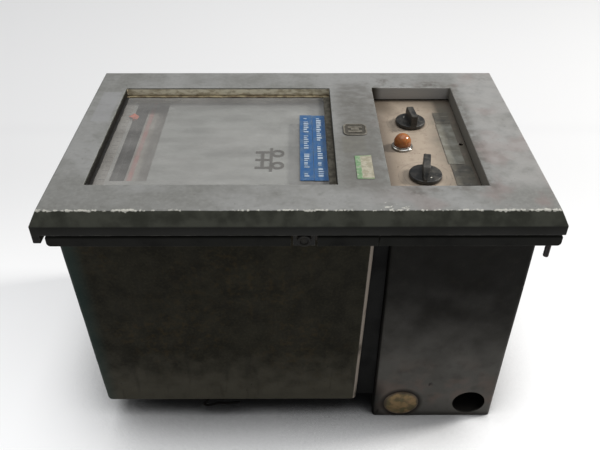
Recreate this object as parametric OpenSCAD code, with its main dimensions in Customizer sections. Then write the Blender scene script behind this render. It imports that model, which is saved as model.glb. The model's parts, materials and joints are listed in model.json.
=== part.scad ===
// Panel-mounted indicating controller in a deep steel case, lying on its back with its face up.
// Origin: centre of the plane it rests on, under the middle of the door. +X runs towards the
// instrument's lower end, +Y towards the hinge side and +Z out of its face.

/* [Overall] */
// Height from the rest plane to the door's flat top
face_z = 185; // [170:1:200]

/* [Door] */
// Length of the door over its skirts
door_l = 289.4; // [286:0.2:296]
// Width of the door over its skirts
door_w = 178.6; // [176:0.2:184]
// Depth of the door's skirt
door_h = 14.4; // [12:0.2:15]
// Horizontal run of the sloping edge round the door
bevel_run = 4.2; // [2:0.2:6]
// Drop of the sloping edge round the door
bevel_drop = 8.2; // [4:0.2:10]
// Wall thickness of the door casting
door_wall = 2.4; // [1.6:0.2:3]
// Depth below the face of the drip lip at the upper end
drip_drop = 19.5; // [16:0.5:22]

/* [Window] */
// Upper end of the window opening
window_x0 = -120.5; // [-124:0.5:-116]
// Lower end of the window opening
window_x1 = 21.7; // [16:0.5:24]
// Latch side of the window opening
window_y0 = -60.6; // [-64:0.5:-56]
// Hinge side of the window opening
window_y1 = 59.9; // [56:0.5:62]
// Depth of the glass below the face
glass_drop = 6.3; // [5:0.1:7]
// Thickness of the glass
glass_t = 2; // [1.5:0.1:2.4]

/* [Control opening] */
// Upper end of the control opening
control_x0 = 51.8; // [50:0.2:54]
// Lower end of the control opening
control_x1 = 107; // [104:0.5:110]
// Latch side of the control opening
control_y0 = -61.9; // [-64:0.2:-58]
// Hinge side of the control opening
control_y1 = 60.6; // [58:0.2:62]
// Depth of the control panel below the face
panel_drop = 10; // [9.5:0.1:10.5]

/* [Flange] */
// Upper end of the mounting flange
flange_x0 = -138.8; // [-139:0.1:-138]
// Lower end of the mounting flange
flange_x1 = 144.6; // [144:0.1:144.7]
// Width of the mounting flange
flange_w = 174.2; // [173.6:0.2:175]
// Depth of the flange's top below the face
flange_drop = 16; // [15.8:0.1:16.4]
// Depth of the flange's turned lips
lip_h = 7.5; // [6:0.5:9]
// Sheet thickness of the flange
flange_t = 1.6; // [1.2:0.2:2]

// Diameter of the panel studs
stud_d = 3.4; // [3:0.1:3.8]
// Length of the panel studs below the flange
stud_l = 18; // [12:0.5:30]

/* [Main case] */
// Upper end of the case at its mouth
case_x0 = -135.4; // [-135.6:0.2:-133]
// Lower end of the case at its mouth
case_x1 = 43; // [42:0.5:44]
// Width of the case at its mouth
case_w = 162.2; // [160:0.2:163]
// Height of the case's bottom above the rest plane
case_z = 17; // [15:0.5:20]
// Inward slope of the end walls, mm per mm of depth
end_draft = 0.0234; // [0.01:0.0002:0.03]
// Inward slope of the side walls, mm per mm of depth
side_draft = 0.013; // [0.005:0.001:0.02]
// Sheet thickness of the case
case_t = 1.5; // [1.2:0.1:1.8]

/* [Terminal box] */
// Upper end of the terminal box
box_x0 = 52; // [51.5:0.5:54]
// Lower end of the terminal box
box_x1 = 135; // [134:0.5:137]
// Width of the terminal box
box_w = 158; // [156:0.5:160]
// Sheet thickness of the terminal box
box_t = 1.2; // [1:0.1:1.5]
// Diameter of a half-inch conduit knockout
knockout_d = 22.2; // [22:0.1:22.4]
// Height of the knockouts above the rest plane
knockout_z = 14; // [13:0.5:18]

/* [Controls] */
// Diameter of a knob's skirt
knob_d = 19.6; // [18:0.2:21]
// Height of a knob above the control panel
knob_h = 10.2; // [8:0.2:12]
// Diameter of a control shaft, a quarter of an inch
shaft_d = 6.35; // [6:0.05:6.4]

/* [Indicator] */
// Length of the pointer from its pivot to its tip
pointer_l = 122; // [120:0.5:123]
// Angle that the pointer sweeps
pointer_sweep = 50; // [40:1:50]

/* [Hidden] */
$fn = 64;

eps = 0.01;
gap = 0.1;
running = 0.05;

// Levels
skirt_z = face_z - door_h;
flange_z = face_z - flange_drop;
mouth_z = flange_z - flange_t;
lip_z = flange_z - lip_h;
stud_x = 140.6;
panel_z = face_z - panel_drop;
panel_t = 1;
glass_z = face_z - glass_drop;
plate_z = glass_z - glass_t - 3.2;
plate_t = 1;
box_y = -box_w / 2;

// Hinge
hinge_y = door_w / 2 + 3.8;
hinge_z = skirt_z - 0.6;
knuckle_r = 3;
hinge_pin_r = 1.5;
hinge_xs = [-85, 85];
hinge_l = 40;
door_knuckle_l = 15;

// Latch
latch_x = 2.8;
latch_z = flange_z - 2.5;
notch_w = 14.4;
notch_reach = 11;
seam_x = 44;
lug_w = 12.4;
lug_t = 1.5;
latch_head_r = 3.9;
latch_stem_r = 2;
cam_l = 8;
cam_y = -door_w / 2 + door_wall + lug_t + gap;

// Seal between flange and door
seal_x0 = -133.5;
seal_x1 = 139;
seal_y = 83;
seal_w = 4;
seal_h = 2;
rim_t = 1.6;

// Openings through the flange
mouth_x0 = -129;
mouth_x1 = 41;
mouth_y = 78.5;
well_x0 = 54;
well_x1 = 133;

// Cable passage between the two boxes
passage_y = 10;
passage_z = 60;
passage_r = 7;
web_y0 = box_y + 4;
web_z = case_z + 2;
web_t = 1.5;
web_y1 = 60;

// Chassis
deck_z = 84;
deck_t = 1.5;
deck_top = deck_z + deck_t;
deck_x0 = -124;
deck_x1 = 35;
deck_y = 73;
post_xs = [-85, 20];
post_y = 60.5;
post_r = 2.5;

// Scale
slot_x0 = -113.5;
slot_x1 = -91;
slot_y0 = -40;
slot_y1 = 62;
scale_x0 = -124;
scale_x1 = -115.5;

// Movement
pivot_x = 14;
pivot_y = 11;
magnet_z = 136;
magnet_h = 22;
magnet_r = 23;
bore_r = 14.2;
core_r = 9;
arm_z = 169.4;
arm_t = 0.8;
bridge_z = 164.5;
pointer_rest = pointer_sweep / 2;

// Set-point drive
rail_x = -116;
rail_z = 160;
rail_r = 2;
screw_x = -123.5;
screw_r = 1.8;
rail_y0 = -66;
rail_y1 = 72;
set_y = 36;
wheel_r = 6.5;

// Panel parts
selector_at = [75.3, 27.3];
trimmer_at = [75.6, -37.9];
lamp_at = [66, -3.6];
skirt_h = 2.4;
blade_t = 4.4;
switch_r = 16;
switch_h = 17;
pot_r = 12;
pot_h = 12;
bushing_r = 4.7;
lamp_r = 5.3;
bezel_r = 6.3;

// Relay
relay_x = -58;
relay_y = -52;
armature_z = deck_top + 40;

// ---- shared shapes ----

module block(x0, x1, y0, y1, z0, z1) {
    translate([x0, y0, z0]) cube([x1 - x0, y1 - y0, z1 - z0]);
}

module disc(x, y, z0, z1, r) {
    translate([x, y, z0]) cylinder(r = r, h = z1 - z0);
}

module rod_x(y, z, x0, x1, r) {
    translate([x0, y, z]) rotate([0, 90, 0]) cylinder(r = r, h = x1 - x0);
}

module rod_y(x, z, y0, y1, r) {
    translate([x, y0, z]) rotate([-90, 0, 0]) cylinder(r = r, h = y1 - y0);
}

// Rectangle with round corners
module round_rect(x0, x1, y0, y1, r) {
    translate([x0 + r, y0]) square([x1 - x0 - 2 * r, y1 - y0]);
    translate([x0, y0 + r]) square([x1 - x0, y1 - y0 - 2 * r]);
    for (x = [x0 + r, x1 - r], y = [y0 + r, y1 - r]) translate([x, y]) circle(r = r);
}

module round_block(x0, x1, y0, y1, z0, z1, r) {
    translate([0, 0, z0]) linear_extrude(z1 - z0) round_rect(x0, x1, y0, y1, r);
}

// Frame-shaped slab: a rectangle less a smaller one
module frame_slab(x0, x1, y0, y1, z0, z1, w) {
    difference() {
        block(x0, x1, y0, y1, z0, z1);
        block(x0 + w, x1 - w, y0 + w, y1 - w, z0 - 1, z1 + 1);
    }
}

// Sheet box with drafted walls and a rounded bottom, shrunk all round by inset
module drafted_box(inset) {
    bottom = case_z + inset;
    bend = 3 - inset / 2;
    corner = 3 - inset / 2;
    depth = mouth_z - bottom;
    hull() {
        drafted_slice(0, inset, corner, mouth_z - 1, 1);
        for (a = [0 : 22.5 : 90]) {
            drafted_slice(depth, inset + bend * (1 - cos(a)), corner, bottom + bend * (1 - sin(a)), eps);
        }
    }
}

module drafted_slice(depth, inset, corner, z, thick) {
    ex = depth * end_draft + inset;
    ey = depth * side_draft + inset;
    translate([0, 0, z]) linear_extrude(thick) {
        round_rect(case_x0 + ex, case_x1 - ex, -case_w / 2 + ey, case_w / 2 - ey, corner, $fn = 32);
    }
}

// Lid-shaped solid: straight skirt and sloping edge, shrunk all round by inset
module lid_solid(inset, z0) {
    intersection() {
        rotate([90, 0, 90]) linear_extrude(door_l + 2, center = true) lid_profile(door_w / 2, inset, z0);
        rotate([90, 0, 0]) linear_extrude(door_w + 2, center = true) lid_profile(door_l / 2, inset, z0);
    }
}

module lid_profile(half, inset, z0) {
    h = half - inset;
    top = face_z - inset;
    shoulder = face_z - bevel_drop - inset / 2;
    polygon([[-h, z0], [h, z0], [h, shoulder], [h - bevel_run, top], [bevel_run - h, top], [-h, shoulder]]);
}

// Profile of a sheet pan whose top edges are rolled over
module pan_profile(u0, u1, z0, z1, r) {
    translate([u0, z0]) square([u1 - u0, z1 - z0 - r]);
    translate([u0 + r, z0]) square([u1 - u0 - 2 * r, z1 - z0]);
    for (u = [u0 + r, u1 - r]) translate([u, z1 - r]) circle(r = r);
}

// The same profile with its lower corners rounded off as well
module rounded_pan_profile(u0, u1, z0, z1, r) {
    intersection() {
        pan_profile(u0, u1, z0, z1, r);
        round_rect(u0, u1, z0, z1 + 2 * r, r);
    }
}

module pan_solid(inset, z0, z1, r) {
    w = flange_w / 2 - inset;
    intersection() {
        translate([flange_x0, 0, 0]) rotate([90, 0, 90]) {
            linear_extrude(flange_x1 - flange_x0) pan_profile(-w, w, z0, z1, r);
        }
        rotate([90, 0, 0]) {
            linear_extrude(flange_w, center = true) {
                rounded_pan_profile(flange_x0 + inset, flange_x1 - inset, z0, z1, r);
            }
        }
    }
}

// Slotted cheese-head screw along Z; dir is 1 when its head is above z
module screw(x, y, z, dir, head_r, shank_r, shank_l) {
    translate([x, y, z]) mirror([0, 0, dir > 0 ? 0 : 1]) difference() {
        union() {
            cylinder(r = head_r, h = head_r * 0.7);
            translate([0, 0, -shank_l]) cylinder(r = shank_r, h = shank_l + eps);
        }
        translate([-head_r, -head_r * 0.14, head_r * 0.42]) cube([2 * head_r, head_r * 0.28, head_r]);
    }
}

// ---- case ----

// Pressed flange with rolled edges, a notch for the latch and two hooks for the panel's edge
module mounting_flange() {
    lip_y = flange_w / 2;
    color("#2b2b25") union() {
        difference() {
            pan_solid(0, lip_z, flange_z, 2.2);
            pan_solid(flange_t, lip_z - 1, mouth_z, 0.8);
            block(mouth_x0, mouth_x1, -mouth_y, mouth_y, mouth_z - 1, flange_z + 1);
            block(well_x0, well_x1, -mouth_y + 2, mouth_y - 2, mouth_z - 1, flange_z + 1);
            block(latch_x - notch_w / 2, latch_x + notch_w / 2, -lip_y - 1, -lip_y + 3.9, lip_z - 1,
                flange_z + 1);
            block(latch_x - notch_reach, latch_x + notch_reach, cam_y - gap, -lip_y + 3.9, mouth_z - 1,
                flange_z + 1);
            block(seam_x - 0.3, seam_x + 0.3, -lip_y - 1, -lip_y + 0.6, lip_z - 1, flange_z + 1);
        }
        block(latch_x + cam_l + 0.6, latch_x + cam_l + 10, -lip_y + flange_t - eps, -lip_y + 3.4,
            mouth_z - 4, mouth_z + eps);
        for (y = [-30, 30]) {
            block(flange_x0 + 1, flange_x0 + 2.6, y - 6, y + 6, mouth_z - 22, mouth_z + eps);
        }
    }
}

module main_case() {
    color("#34332c") difference() {
        drafted_box(0);
        union() {
            drafted_box(case_t);
            block(case_x0 + 6, case_x1 - 6, -case_w / 2 + 6, case_w / 2 - 6, mouth_z - 2, mouth_z + 1);
        }
        rod_x(passage_y, passage_z, case_x1 - 12, case_x1 + 1, passage_r);
        for (x = [-75 : 20 : 5]) disc(x, 0, case_z - 1, case_z + case_t + 1, 3);
    }
}

module terminal_box() {
    color("#3a3a33") difference() {
        round_block(box_x0, box_x1, box_y, -box_y, 0, mouth_z, 2.5);
        round_block(box_x0 + box_t, box_x1 - box_t, box_y + box_t, -box_y - box_t, box_t, mouth_z + 1, 1.5);
        for (x = [71, 118]) rod_y(x, knockout_z, box_y - 1, box_y + box_t + 1, knockout_d / 2);
        rod_x(passage_y, passage_z, box_x0 - 1, box_x0 + box_t + 1, passage_r);
    }
}

// Folded sheet duct that joins the two boxes and carries the wiring between them
module case_web() {
    lean = (mouth_z - web_z) * end_draft;
    color("#141411") difference() {
        translate([gap, web_y1, 0]) rotate([90, 0, 0]) linear_extrude(web_y1 - web_y0) {
            polygon([[case_x1 - lean, web_z], [box_x0 - gap, web_z], [box_x0 - gap, mouth_z],
                [case_x1, mouth_z]]);
        }
        block(case_x1 - 12, box_x0 + 1, web_y0 + web_t, web_y1 - web_t, web_z + web_t, mouth_z + 1);
    }
}

module knockout_plug() {
    color("#8c7a4c") translate([71, box_y, knockout_z]) rotate([90, 0, 0]) rotate_extrude() {
        polygon([[0, -0.6], [10.4, -0.6], [10.4, -2.6], [11, -2.6], [11, 0], [12, 0], [11.4, 1], [0, 1.4]]);
    }
}

// Shallow cover over the thermocouple terminals; it is one of the two rest faces
module rear_cover() {
    color("#26261f") difference() {
        round_block(-104, 16, -50, 50, 0, case_z, 4);
        round_block(-102.8, 14.8, -48.8, 48.8, 1.2, case_z + 1, 3);
        for (x = [-98, 10], y = [-44, 44]) disc(x, y, -1, 2, 1.8);
    }
    color("#26261f") for (x = [-98, 10], y = [-44, 44]) {
        difference() {
            disc(x, y, 1.1, case_z, 3.4);
            disc(x, y, 0, case_z + 1, 1.8);
        }
    }
}

module cover_screws() {
    color("#8a8983") for (x = [-98, 10], y = [-44, 44]) screw(x, y, case_z + case_t, 1, 3, 1.6, case_z);
}

// Two studs for the panel, each with a collar where it is welded on
module panel_studs() {
    color("#3b3233") for (y = [-81, 81]) {
        disc(stud_x, y, mouth_z - stud_l, mouth_z, stud_d / 2);
        disc(stud_x, y, lip_z - 0.6, mouth_z, stud_d / 2 + 0.25);
    }
}

// ---- hinges ----

module knuckle(x0, x1, bore) {
    difference() {
        rod_x(hinge_y, hinge_z, x0, x1, knuckle_r);
        rod_x(hinge_y, hinge_z, x0 - 1, x1 + 1, bore);
    }
}

module case_hinge_leaves() {
    back = flange_w / 2;
    side_l = (hinge_l - door_knuckle_l) / 2 - 0.5;
    color("#55544c") for (x = hinge_xs) {
        for (k = [x - hinge_l / 2, x + hinge_l / 2 - side_l]) {
            knuckle(k, k + side_l, hinge_pin_r);
            difference() {
                block(k, k + side_l, back, hinge_y + 1, hinge_z - 4, hinge_z - 2.2);
                rod_x(hinge_y, hinge_z, k - 1, k + side_l + 1, hinge_pin_r + 0.5);
            }
        }
        block(x - hinge_l / 2, x + hinge_l / 2, back, back + 1.2, lip_z, hinge_z - 2.2);
    }
}

module door_hinge_leaves() {
    back = door_w / 2;
    color("#5f5e56") for (x = hinge_xs) {
        k = x - door_knuckle_l / 2;
        knuckle(k, k + door_knuckle_l, hinge_pin_r + running);
        difference() {
            union() {
                block(k, k + door_knuckle_l, back, back + 1.2, hinge_z, hinge_z + 3);
                block(x - hinge_l / 2, x + hinge_l / 2, back, back + 1.2, hinge_z + 3, hinge_z + 6);
            }
            rod_x(hinge_y, hinge_z, k - 1, k + door_knuckle_l + 1, hinge_pin_r + 0.5);
        }
    }
}

module hinge_pins() {
    color("#9a9890") for (x = hinge_xs) {
        rod_x(hinge_y, hinge_z, x - hinge_l / 2, x + hinge_l / 2, hinge_pin_r);
    }
}

module case_gasket() {
    color("#1b1a17") frame_slab(seal_x0, seal_x1, -seal_y, seal_y, flange_z, flange_z + seal_h, seal_w);
}

// Cut-off end of a bonding wire under the latch side of the case
module earth_wire() {
    y = -case_w / 2 + 3;
    r = 0.9;
    path = [[-58, -50.8, 12], [-60, y + 8, 13], [-66, y, 14], [-64, y - 0.5, 12], [-54, y - 0.6, 14.5],
        [-41, y, 15.5]];
    color("#241c18") wire(path, r);
}

// Round wire through a list of points, with a slightly fuller ball at each bend
module wire(path, r) {
    for (i = [0 : len(path) - 2]) link(path[i], path[i + 1], r);
    for (i = [1 : len(path) - 2]) translate(path[i]) sphere(r = r * 1.12);
}

// Round bar between two points
module link(a, b, r) {
    d = b - a;
    reach = norm([d[0], d[1]]);
    translate(a) rotate([0, atan2(reach, d[2]), atan2(d[1], d[0])]) cylinder(r = r, h = norm(d));
}

// ---- chassis and electrical parts ----

module chassis_frame() {
    ear = mouth_z - 1;
    color("#8f8f88") difference() {
        union() {
            block(deck_x0, deck_x1, -deck_y, deck_y, deck_z, deck_top);
            for (s = [-1, 1]) {
                block(deck_x0, deck_x1, min(s * deck_y, s * (deck_y + 1.5)), max(s * deck_y,
                    s * (deck_y + 1.5)), deck_z, ear);
            }
            for (x = post_xs, s = [-1, 1]) {
                block(x - 3.5, x + 3.5, min(s * (post_y - 3), s * deck_y), max(s * (post_y - 3),
                    s * deck_y), 150, 151.5);
                disc(x, s * post_y, 151, plate_z - plate_t, post_r);
            }
        }
        for (s = [-1, 1]) block(-100, 10, s * deck_y - 3, s * deck_y + 3, deck_z + 20, 145);
    }
}

module scale_plate() {
    color("#76756f") difference() {
        block(-127, 28, -65.5, 65.5, plate_z - plate_t, plate_z);
        block(slot_x0, slot_x1, slot_y0, slot_y1, plate_z - 3, plate_z + 1);
    }
}

// Graduated strip beside the slot
module scale_strip() {
    color("#b9b6a8") block(scale_x0, scale_x1, slot_y0 - 12, slot_y1, plate_z, plate_z + 0.3);
}

// Strips under the slot, lying across the chassis
module slot_backing() {
    z = mouth_z - 1;
    color("#8a5a50") block(-107, -104, -deck_y - 1, deck_y + 1, z, z + 1);
    color("#8d8878") block(-104, -90, -deck_y - 1, deck_y + 1, z, z + 0.9);
}

module plate_badge() {
    color("#23231f") {
        block(-27, -9, -33, -31, plate_z, plate_z + 0.5);
        block(-27, -9, -2, 0, plate_z, plate_z + 0.5);
        block(-27, -25, -33, 0, plate_z, plate_z + 0.5);
    }
}

// Screws of the scale plate and of the control panel
module face_screws() {
    color("#6d6c66") {
        for (x = post_xs, s = [-1, 1]) screw(x, s * 62.7, plate_z, 1, 1.6, 1, 0.9);
        for (x = [60, 98], y = [control_y0 - 3.7, control_y1 + 3.7]) screw(x, y, panel_z, 1, 1.2, 0.8, 0.9);
    }
}

module transformer_core() {
    color("#4b4b4e") difference() {
        block(-60, 0, -30, 30, 36, deck_z);
        for (s = [-1, 1]) block(-50, -10, min(s * 10, s * 20), max(s * 10, s * 20), 35, deck_z + 1);
        for (x = [-61, -19.5]) block(x, x + 20.5, -31, 31, 35, 44);
        for (x = [-61, -19.5]) block(x, x + 20.5, -31, 31, 76, deck_z - 2);
    }
}

module transformer_coil() {
    color("#b58a4f") difference() {
        block(-49.5, -10.5, -19.5, 19.5, 44.5, 75.5);
        block(-60, 0, -10.2, 10.2, 40, 80);
    }
}

module capacitor_can() {
    color("#a9aaa8") {
        disc(-20, -50, deck_top, deck_top + 48, 12.5);
        disc(-20, -50, deck_top + 48, deck_top + 50, 10);
    }
}

module tube_socket() {
    color("#3a2a1e") difference() {
        disc(-80, 45, deck_top, deck_top + 8, 13);
        disc(-80, 45, deck_top + 3, deck_top + 9, 10.2);
    }
}

module oscillator_tube() {
    color("#c9d2d0") translate([-80, 45, deck_top + 3]) {
        cylinder(r = 10, h = 38);
        translate([0, 0, 38]) sphere(r = 10);
    }
}

module component_board() {
    color("#6b4a2a") block(-50, 10, 66, 68, deck_top, deck_top + 45);
    color("#a06a3a") for (i = [0 : 6], z = [10, 30]) {
        translate([-44 + 8 * i, 66 - 2.2, deck_top + z]) cylinder(r = 2.2, h = 10);
    }
}

// Relay base, yoke with the armature's pivot pin, core and contact post
module relay_frame() {
    back = relay_x - 16;
    color("#9c9a8e") {
        block(back, relay_x + 16, relay_y - 12, relay_y + 12, deck_top, deck_top + 5);
        block(back, back + 2, relay_y - 9, relay_y + 9, deck_top + 4, armature_z - 3);
        for (y = [relay_y - 9, relay_y + 7.5]) block(back - 1, back + 3, y, y + 1.5, armature_z - 4,
            armature_z + 2);
        block(relay_x + 10, relay_x + 16, relay_y - 6, relay_y + 6, deck_top + 4, armature_z - 8);
        disc(relay_x, relay_y, deck_top + 4, armature_z - 3, 4);
        rod_y(back + 1, armature_z, relay_y - 9, relay_y + 9, 1);
    }
}

module relay_coil() {
    color("#7b2f20") difference() {
        disc(relay_x, relay_y, deck_top + 7, armature_z - 6, 9.5);
        disc(relay_x, relay_y, deck_top, armature_z, 4);
    }
}

// Hinged iron strip that closes on the relay's core, with a contact tongue
module relay_armature() {
    pivot = relay_x - 15;
    w = 7.2;
    color("#b5b3a8") {
        difference() {
            union() {
                rod_y(pivot, armature_z, relay_y - w, relay_y + w, 1.9);
                block(pivot, relay_x + 16, relay_y - w, relay_y + w, armature_z - 0.6, armature_z + 1);
            }
            rod_y(pivot, armature_z, relay_y - w - 1, relay_y + w + 1, 1 + running);
        }
        block(relay_x + 12, relay_x + 14, relay_y - 2, relay_y + 2, armature_z - 4, armature_z);
    }
}

// ---- measuring movement ----

module magnet() {
    color("#5a5b60") difference() {
        disc(pivot_x, pivot_y, magnet_z, magnet_z + magnet_h, magnet_r);
        disc(pivot_x, pivot_y, magnet_z - 1, magnet_z + magnet_h + 1, bore_r);
    }
    color("#8f8f88") difference() {
        disc(pivot_x, pivot_y, deck_top, magnet_z, magnet_r - 2);
        disc(pivot_x, pivot_y, deck_top - 1, magnet_z + 1, magnet_r - 4);
    }
}

module pole_core() {
    web = 1.5;
    reach = sqrt(bore_r * bore_r - web * web) - eps;
    color("#77797c") {
        disc(pivot_x, pivot_y, magnet_z + 3, magnet_z + magnet_h - 4, core_r);
        block(pivot_x - web, pivot_x + web, pivot_y + core_r - 1, pivot_y + reach, magnet_z + 6,
            magnet_z + 14);
    }
}

// Upper and lower bridges that carry the jewel bearings
module movement_bridges() {
    top = bridge_z;
    color("#b9a25c") {
        difference() {
            union() {
                block(pivot_x - 4, pivot_x + 4, pivot_y - 22, pivot_y + 22, top, top + 1.5);
                for (s = [-1, 1]) disc(pivot_x, pivot_y + s * 19, magnet_z + magnet_h, top + eps, 2.5);
            }
            disc(pivot_x, pivot_y, top - 1, top + 3, 0.8);
        }
        difference() {
            union() {
                disc(pivot_x, pivot_y, magnet_z - 5, magnet_z - 3, 18.9);
                disc(pivot_x, pivot_y, magnet_z - 6, magnet_z - 4, 4);
            }
            disc(pivot_x, pivot_y, magnet_z - 10, magnet_z, 0.8);
        }
    }
}

// Coil wound on a frame round the core, with its staff
module moving_coil() {
    low = magnet_z + 1;
    high = magnet_z + magnet_h;
    color("#b5532a") difference() {
        block(pivot_x - 12.5, pivot_x + 12.5, pivot_y - 2, pivot_y + 2, low, high);
        block(pivot_x - 10.5, pivot_x + 10.5, pivot_y - 3, pivot_y + 3, low + 1.5, high - 2);
    }
    color("#b9b9b4") {
        disc(pivot_x, pivot_y, magnet_z - 5.5, low + eps, 0.75);
        disc(pivot_x, pivot_y, high - eps, arm_z + arm_t, 0.75);
    }
}

// Pointer parked just off the low end of its scale, under the scale plate
module pointer_arm() {
    color("#b23a24") translate([pivot_x, pivot_y, 0]) rotate([0, 0, pointer_rest]) difference() {
        union() {
            disc(0, 0, arm_z, arm_z + arm_t, 3);
            translate([0, 0, arm_z]) linear_extrude(arm_t) {
                polygon([[-pointer_l, -0.4], [-pointer_l, 0.4], [0, 1.5], [14, 2.5], [14, -2.5], [0, -1.5]]);
            }
        }
        disc(0, 0, arm_z - 1, arm_z + 2, 0.75);
    }
}

// ---- set-point drive ----

module guide_rail() {
    color("#a3a29a") {
        rod_y(rail_x, rail_z, rail_y0 + 2, rail_y1 - 4, rail_r);
        for (y = [rail_y0 + 2, rail_y1 - 4]) difference() {
            block(-127, -111, y, y + 1.5, 150, rail_z + 4.5);
            rod_y(screw_x, rail_z, y - 1, y + 3, screw_r + running);
        }
        for (s = [-1, 1]) block(-127, -111, s > 0 ? rail_y1 - 4 : -deck_y,
            s > 0 ? deck_y : rail_y0 + 3.5, 150, 151.5);
    }
}

module set_screw() {
    color("#c4b27a") {
        rod_y(screw_x, rail_z, rail_y0 + gap, rail_y1 - 2, screw_r);
        rod_y(screw_x, rail_z, rail_y0 - 2.5, rail_y0 + 1.5, wheel_r);
    }
}

// Nut block on the rail and screw, with the index that shows beside the slot
module set_pointer() {
    color("#c8652a") {
        difference() {
            block(-127, -111.5, set_y - 4, set_y + 4, rail_z - 3.5, rail_z + 4);
            rod_y(rail_x, rail_z, set_y - 5, set_y + 5, rail_r + running);
            rod_y(screw_x, rail_z, set_y - 5, set_y + 5, screw_r + running);
        }
        block(-113.1, -111.9, set_y - 2, set_y + 2, rail_z + 3, plate_z + 1.4);
        translate([0, 0, plate_z + 0.7]) linear_extrude(0.7) {
            polygon([[-116.4, set_y + 1.4], [-110.2, set_y - 2.6], [-109.4, set_y + 2], [-113.4, set_y + 6]]);
        }
    }
}

// ---- control panel ----

module control_panel() {
    x0 = control_x0 - 6;
    x1 = control_x1 + 6;
    y0 = control_y0 - 5;
    y1 = control_y1 + 5;
    color("#a4978a") difference() {
        block(x0, x1, y0, y1, flange_z, panel_z);
        block(x0 + panel_t, x1 - panel_t, y0 + panel_t, y1 - panel_t, flange_z - 1, panel_z - panel_t);
        for (p = [selector_at, trimmer_at]) disc(p[0], p[1], panel_z - 3, panel_z + 1, bushing_r);
        disc(lamp_at[0], lamp_at[1], panel_z - 3, panel_z + 1, 5);
        disc(104.4, -0.3, panel_z - 3, panel_z + 1, 1.4);
    }
}

module legend_plates() {
    t = 0.3;
    color("#2f2d2a") {
        block(92.6, 102.6, 25.8, 41.6, panel_z, panel_z + t);
        block(93.2, 105.4, -47.5, -24.6, panel_z, panel_z + t);
    }
    color("#9aa3a8") block(92.2, 102.4, -24.2, 25.4, panel_z, panel_z + t);
}

// Body of a panel control: bushing with its nut, and the can under the panel
module control_body(at, r, h) {
    under = panel_z - panel_t;
    difference() {
        union() {
            disc(at[0], at[1], under - h, under, r);
            disc(at[0], at[1], under - eps, panel_z + 0.2, bushing_r - 0.05);
        }
        disc(at[0], at[1], under - h + 3, panel_z + 1, shaft_d / 2 + running);
    }
}

module rotary_switch() {
    color("#5a4636") control_body(selector_at, switch_r, switch_h);
}

module potentiometer() {
    color("#7d7f80") control_body(trimmer_at, pot_r, pot_h);
}

module control_shaft(at, h) {
    disc(at[0], at[1], panel_z - panel_t - h + 3.1, panel_z + skirt_h - 0.3, shaft_d / 2);
}

module selector_shaft() {
    color("#b8b8b0") control_shaft(selector_at, switch_h);
}

module trimmer_shaft() {
    color("#b8b8b0") control_shaft(trimmer_at, pot_h);
}

// Pointer knob: a flat skirt with a blade across it that falls and narrows to its pointing end
module knob(at, turn) {
    r = knob_d / 2;
    top = knob_h - 0.3;
    end = r - 0.4;
    translate([at[0], at[1], panel_z + 0.3]) rotate([0, 0, turn]) difference() {
        union() {
            rotate_extrude() polygon([[0, 0], [r, 0], [r, 1.4], [r - 0.6, skirt_h], [0, skirt_h]]);
            intersection() {
                rotate([90, 0, 0]) linear_extrude(blade_t, center = true) {
                    polygon([[-end, skirt_h - 0.1], [end, skirt_h - 0.1], [end, 3.4], [0.45 * r, top],
                        [-end, top]]);
                }
                linear_extrude(knob_h) {
                    polygon([[-r, -blade_t], [-r, blade_t], [0.45 * r, blade_t / 2], [r, 1], [r, -1],
                        [0.45 * r, -blade_t / 2]]);
                }
            }
        }
        translate([0, 0, -1]) cylinder(r = shaft_d / 2, h = skirt_h + 0.5);
    }
}

module selector_knob() {
    color("#26262a") knob(selector_at, 96);
}

module trimmer_knob() {
    color("#26262a") knob(trimmer_at, -100);
}

module lamp_bezel() {
    color("#b0aea6") translate([lamp_at[0], lamp_at[1], panel_z]) rotate_extrude() {
        polygon([[lamp_r, 0], [bezel_r + 0.6, 0], [bezel_r, 2.4], [lamp_r, 2.4]]);
    }
}

module lamp_lens() {
    color("#c9792e") translate([lamp_at[0], lamp_at[1], panel_z]) difference() {
        union() {
            cylinder(r = lamp_r, h = 4);
            translate([0, 0, 4]) intersection() {
                sphere(r = lamp_r);
                cylinder(r = lamp_r, h = lamp_r);
            }
        }
        translate([0, 0, -1]) cylinder(r = 3.8, h = 5);
    }
}

// Lamp holder with its bulb
module lamp_holder() {
    x = lamp_at[0];
    y = lamp_at[1];
    color("#8f8a72") difference() {
        disc(x, y, panel_z - 26, panel_z - 0.1, 4.9);
        disc(x, y, panel_z - 20, panel_z + 1, 3.9);
    }
    color("#e8e0c8") {
        disc(x, y, panel_z - 20.1, panel_z + 0.5, 3);
        translate([x, y, panel_z + 0.5]) sphere(r = 3);
    }
}

// ---- wiring ----

// Barrier strip: base with a rib between neighbouring terminals
module barrier_strip(x0, y0, z0, count, pitch, dir) {
    l = count * pitch;
    base = dir > 0 ? z0 : z0 - 6;
    rib = dir > 0 ? z0 : z0 - 11;
    block(x0, x0 + l, y0, y0 + 18, base, base + 6);
    for (i = [0 : count]) block(x0 + i * pitch - 0.8, x0 + i * pitch + 0.8, y0, y0 + 18, rib, rib + 11);
}

module rear_terminal_block() {
    color("#1e1c1a") barrier_strip(-85, -9, case_z, 5, 16, -1);
}

module power_terminal_strip() {
    color("#1e1c1a") barrier_strip(62, 20, box_t, 4, 15, 1);
}

module terminal_screws() {
    color("#b09a58") {
        for (i = [0 : 4]) screw(-77 + 16 * i, 0, case_z - 6, -1, 3.2, 1.6, 4);
        for (i = [0 : 3]) screw(69.5 + 15 * i, 29, box_t + 6, 1, 3.2, 1.6, 4);
    }
}

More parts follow.
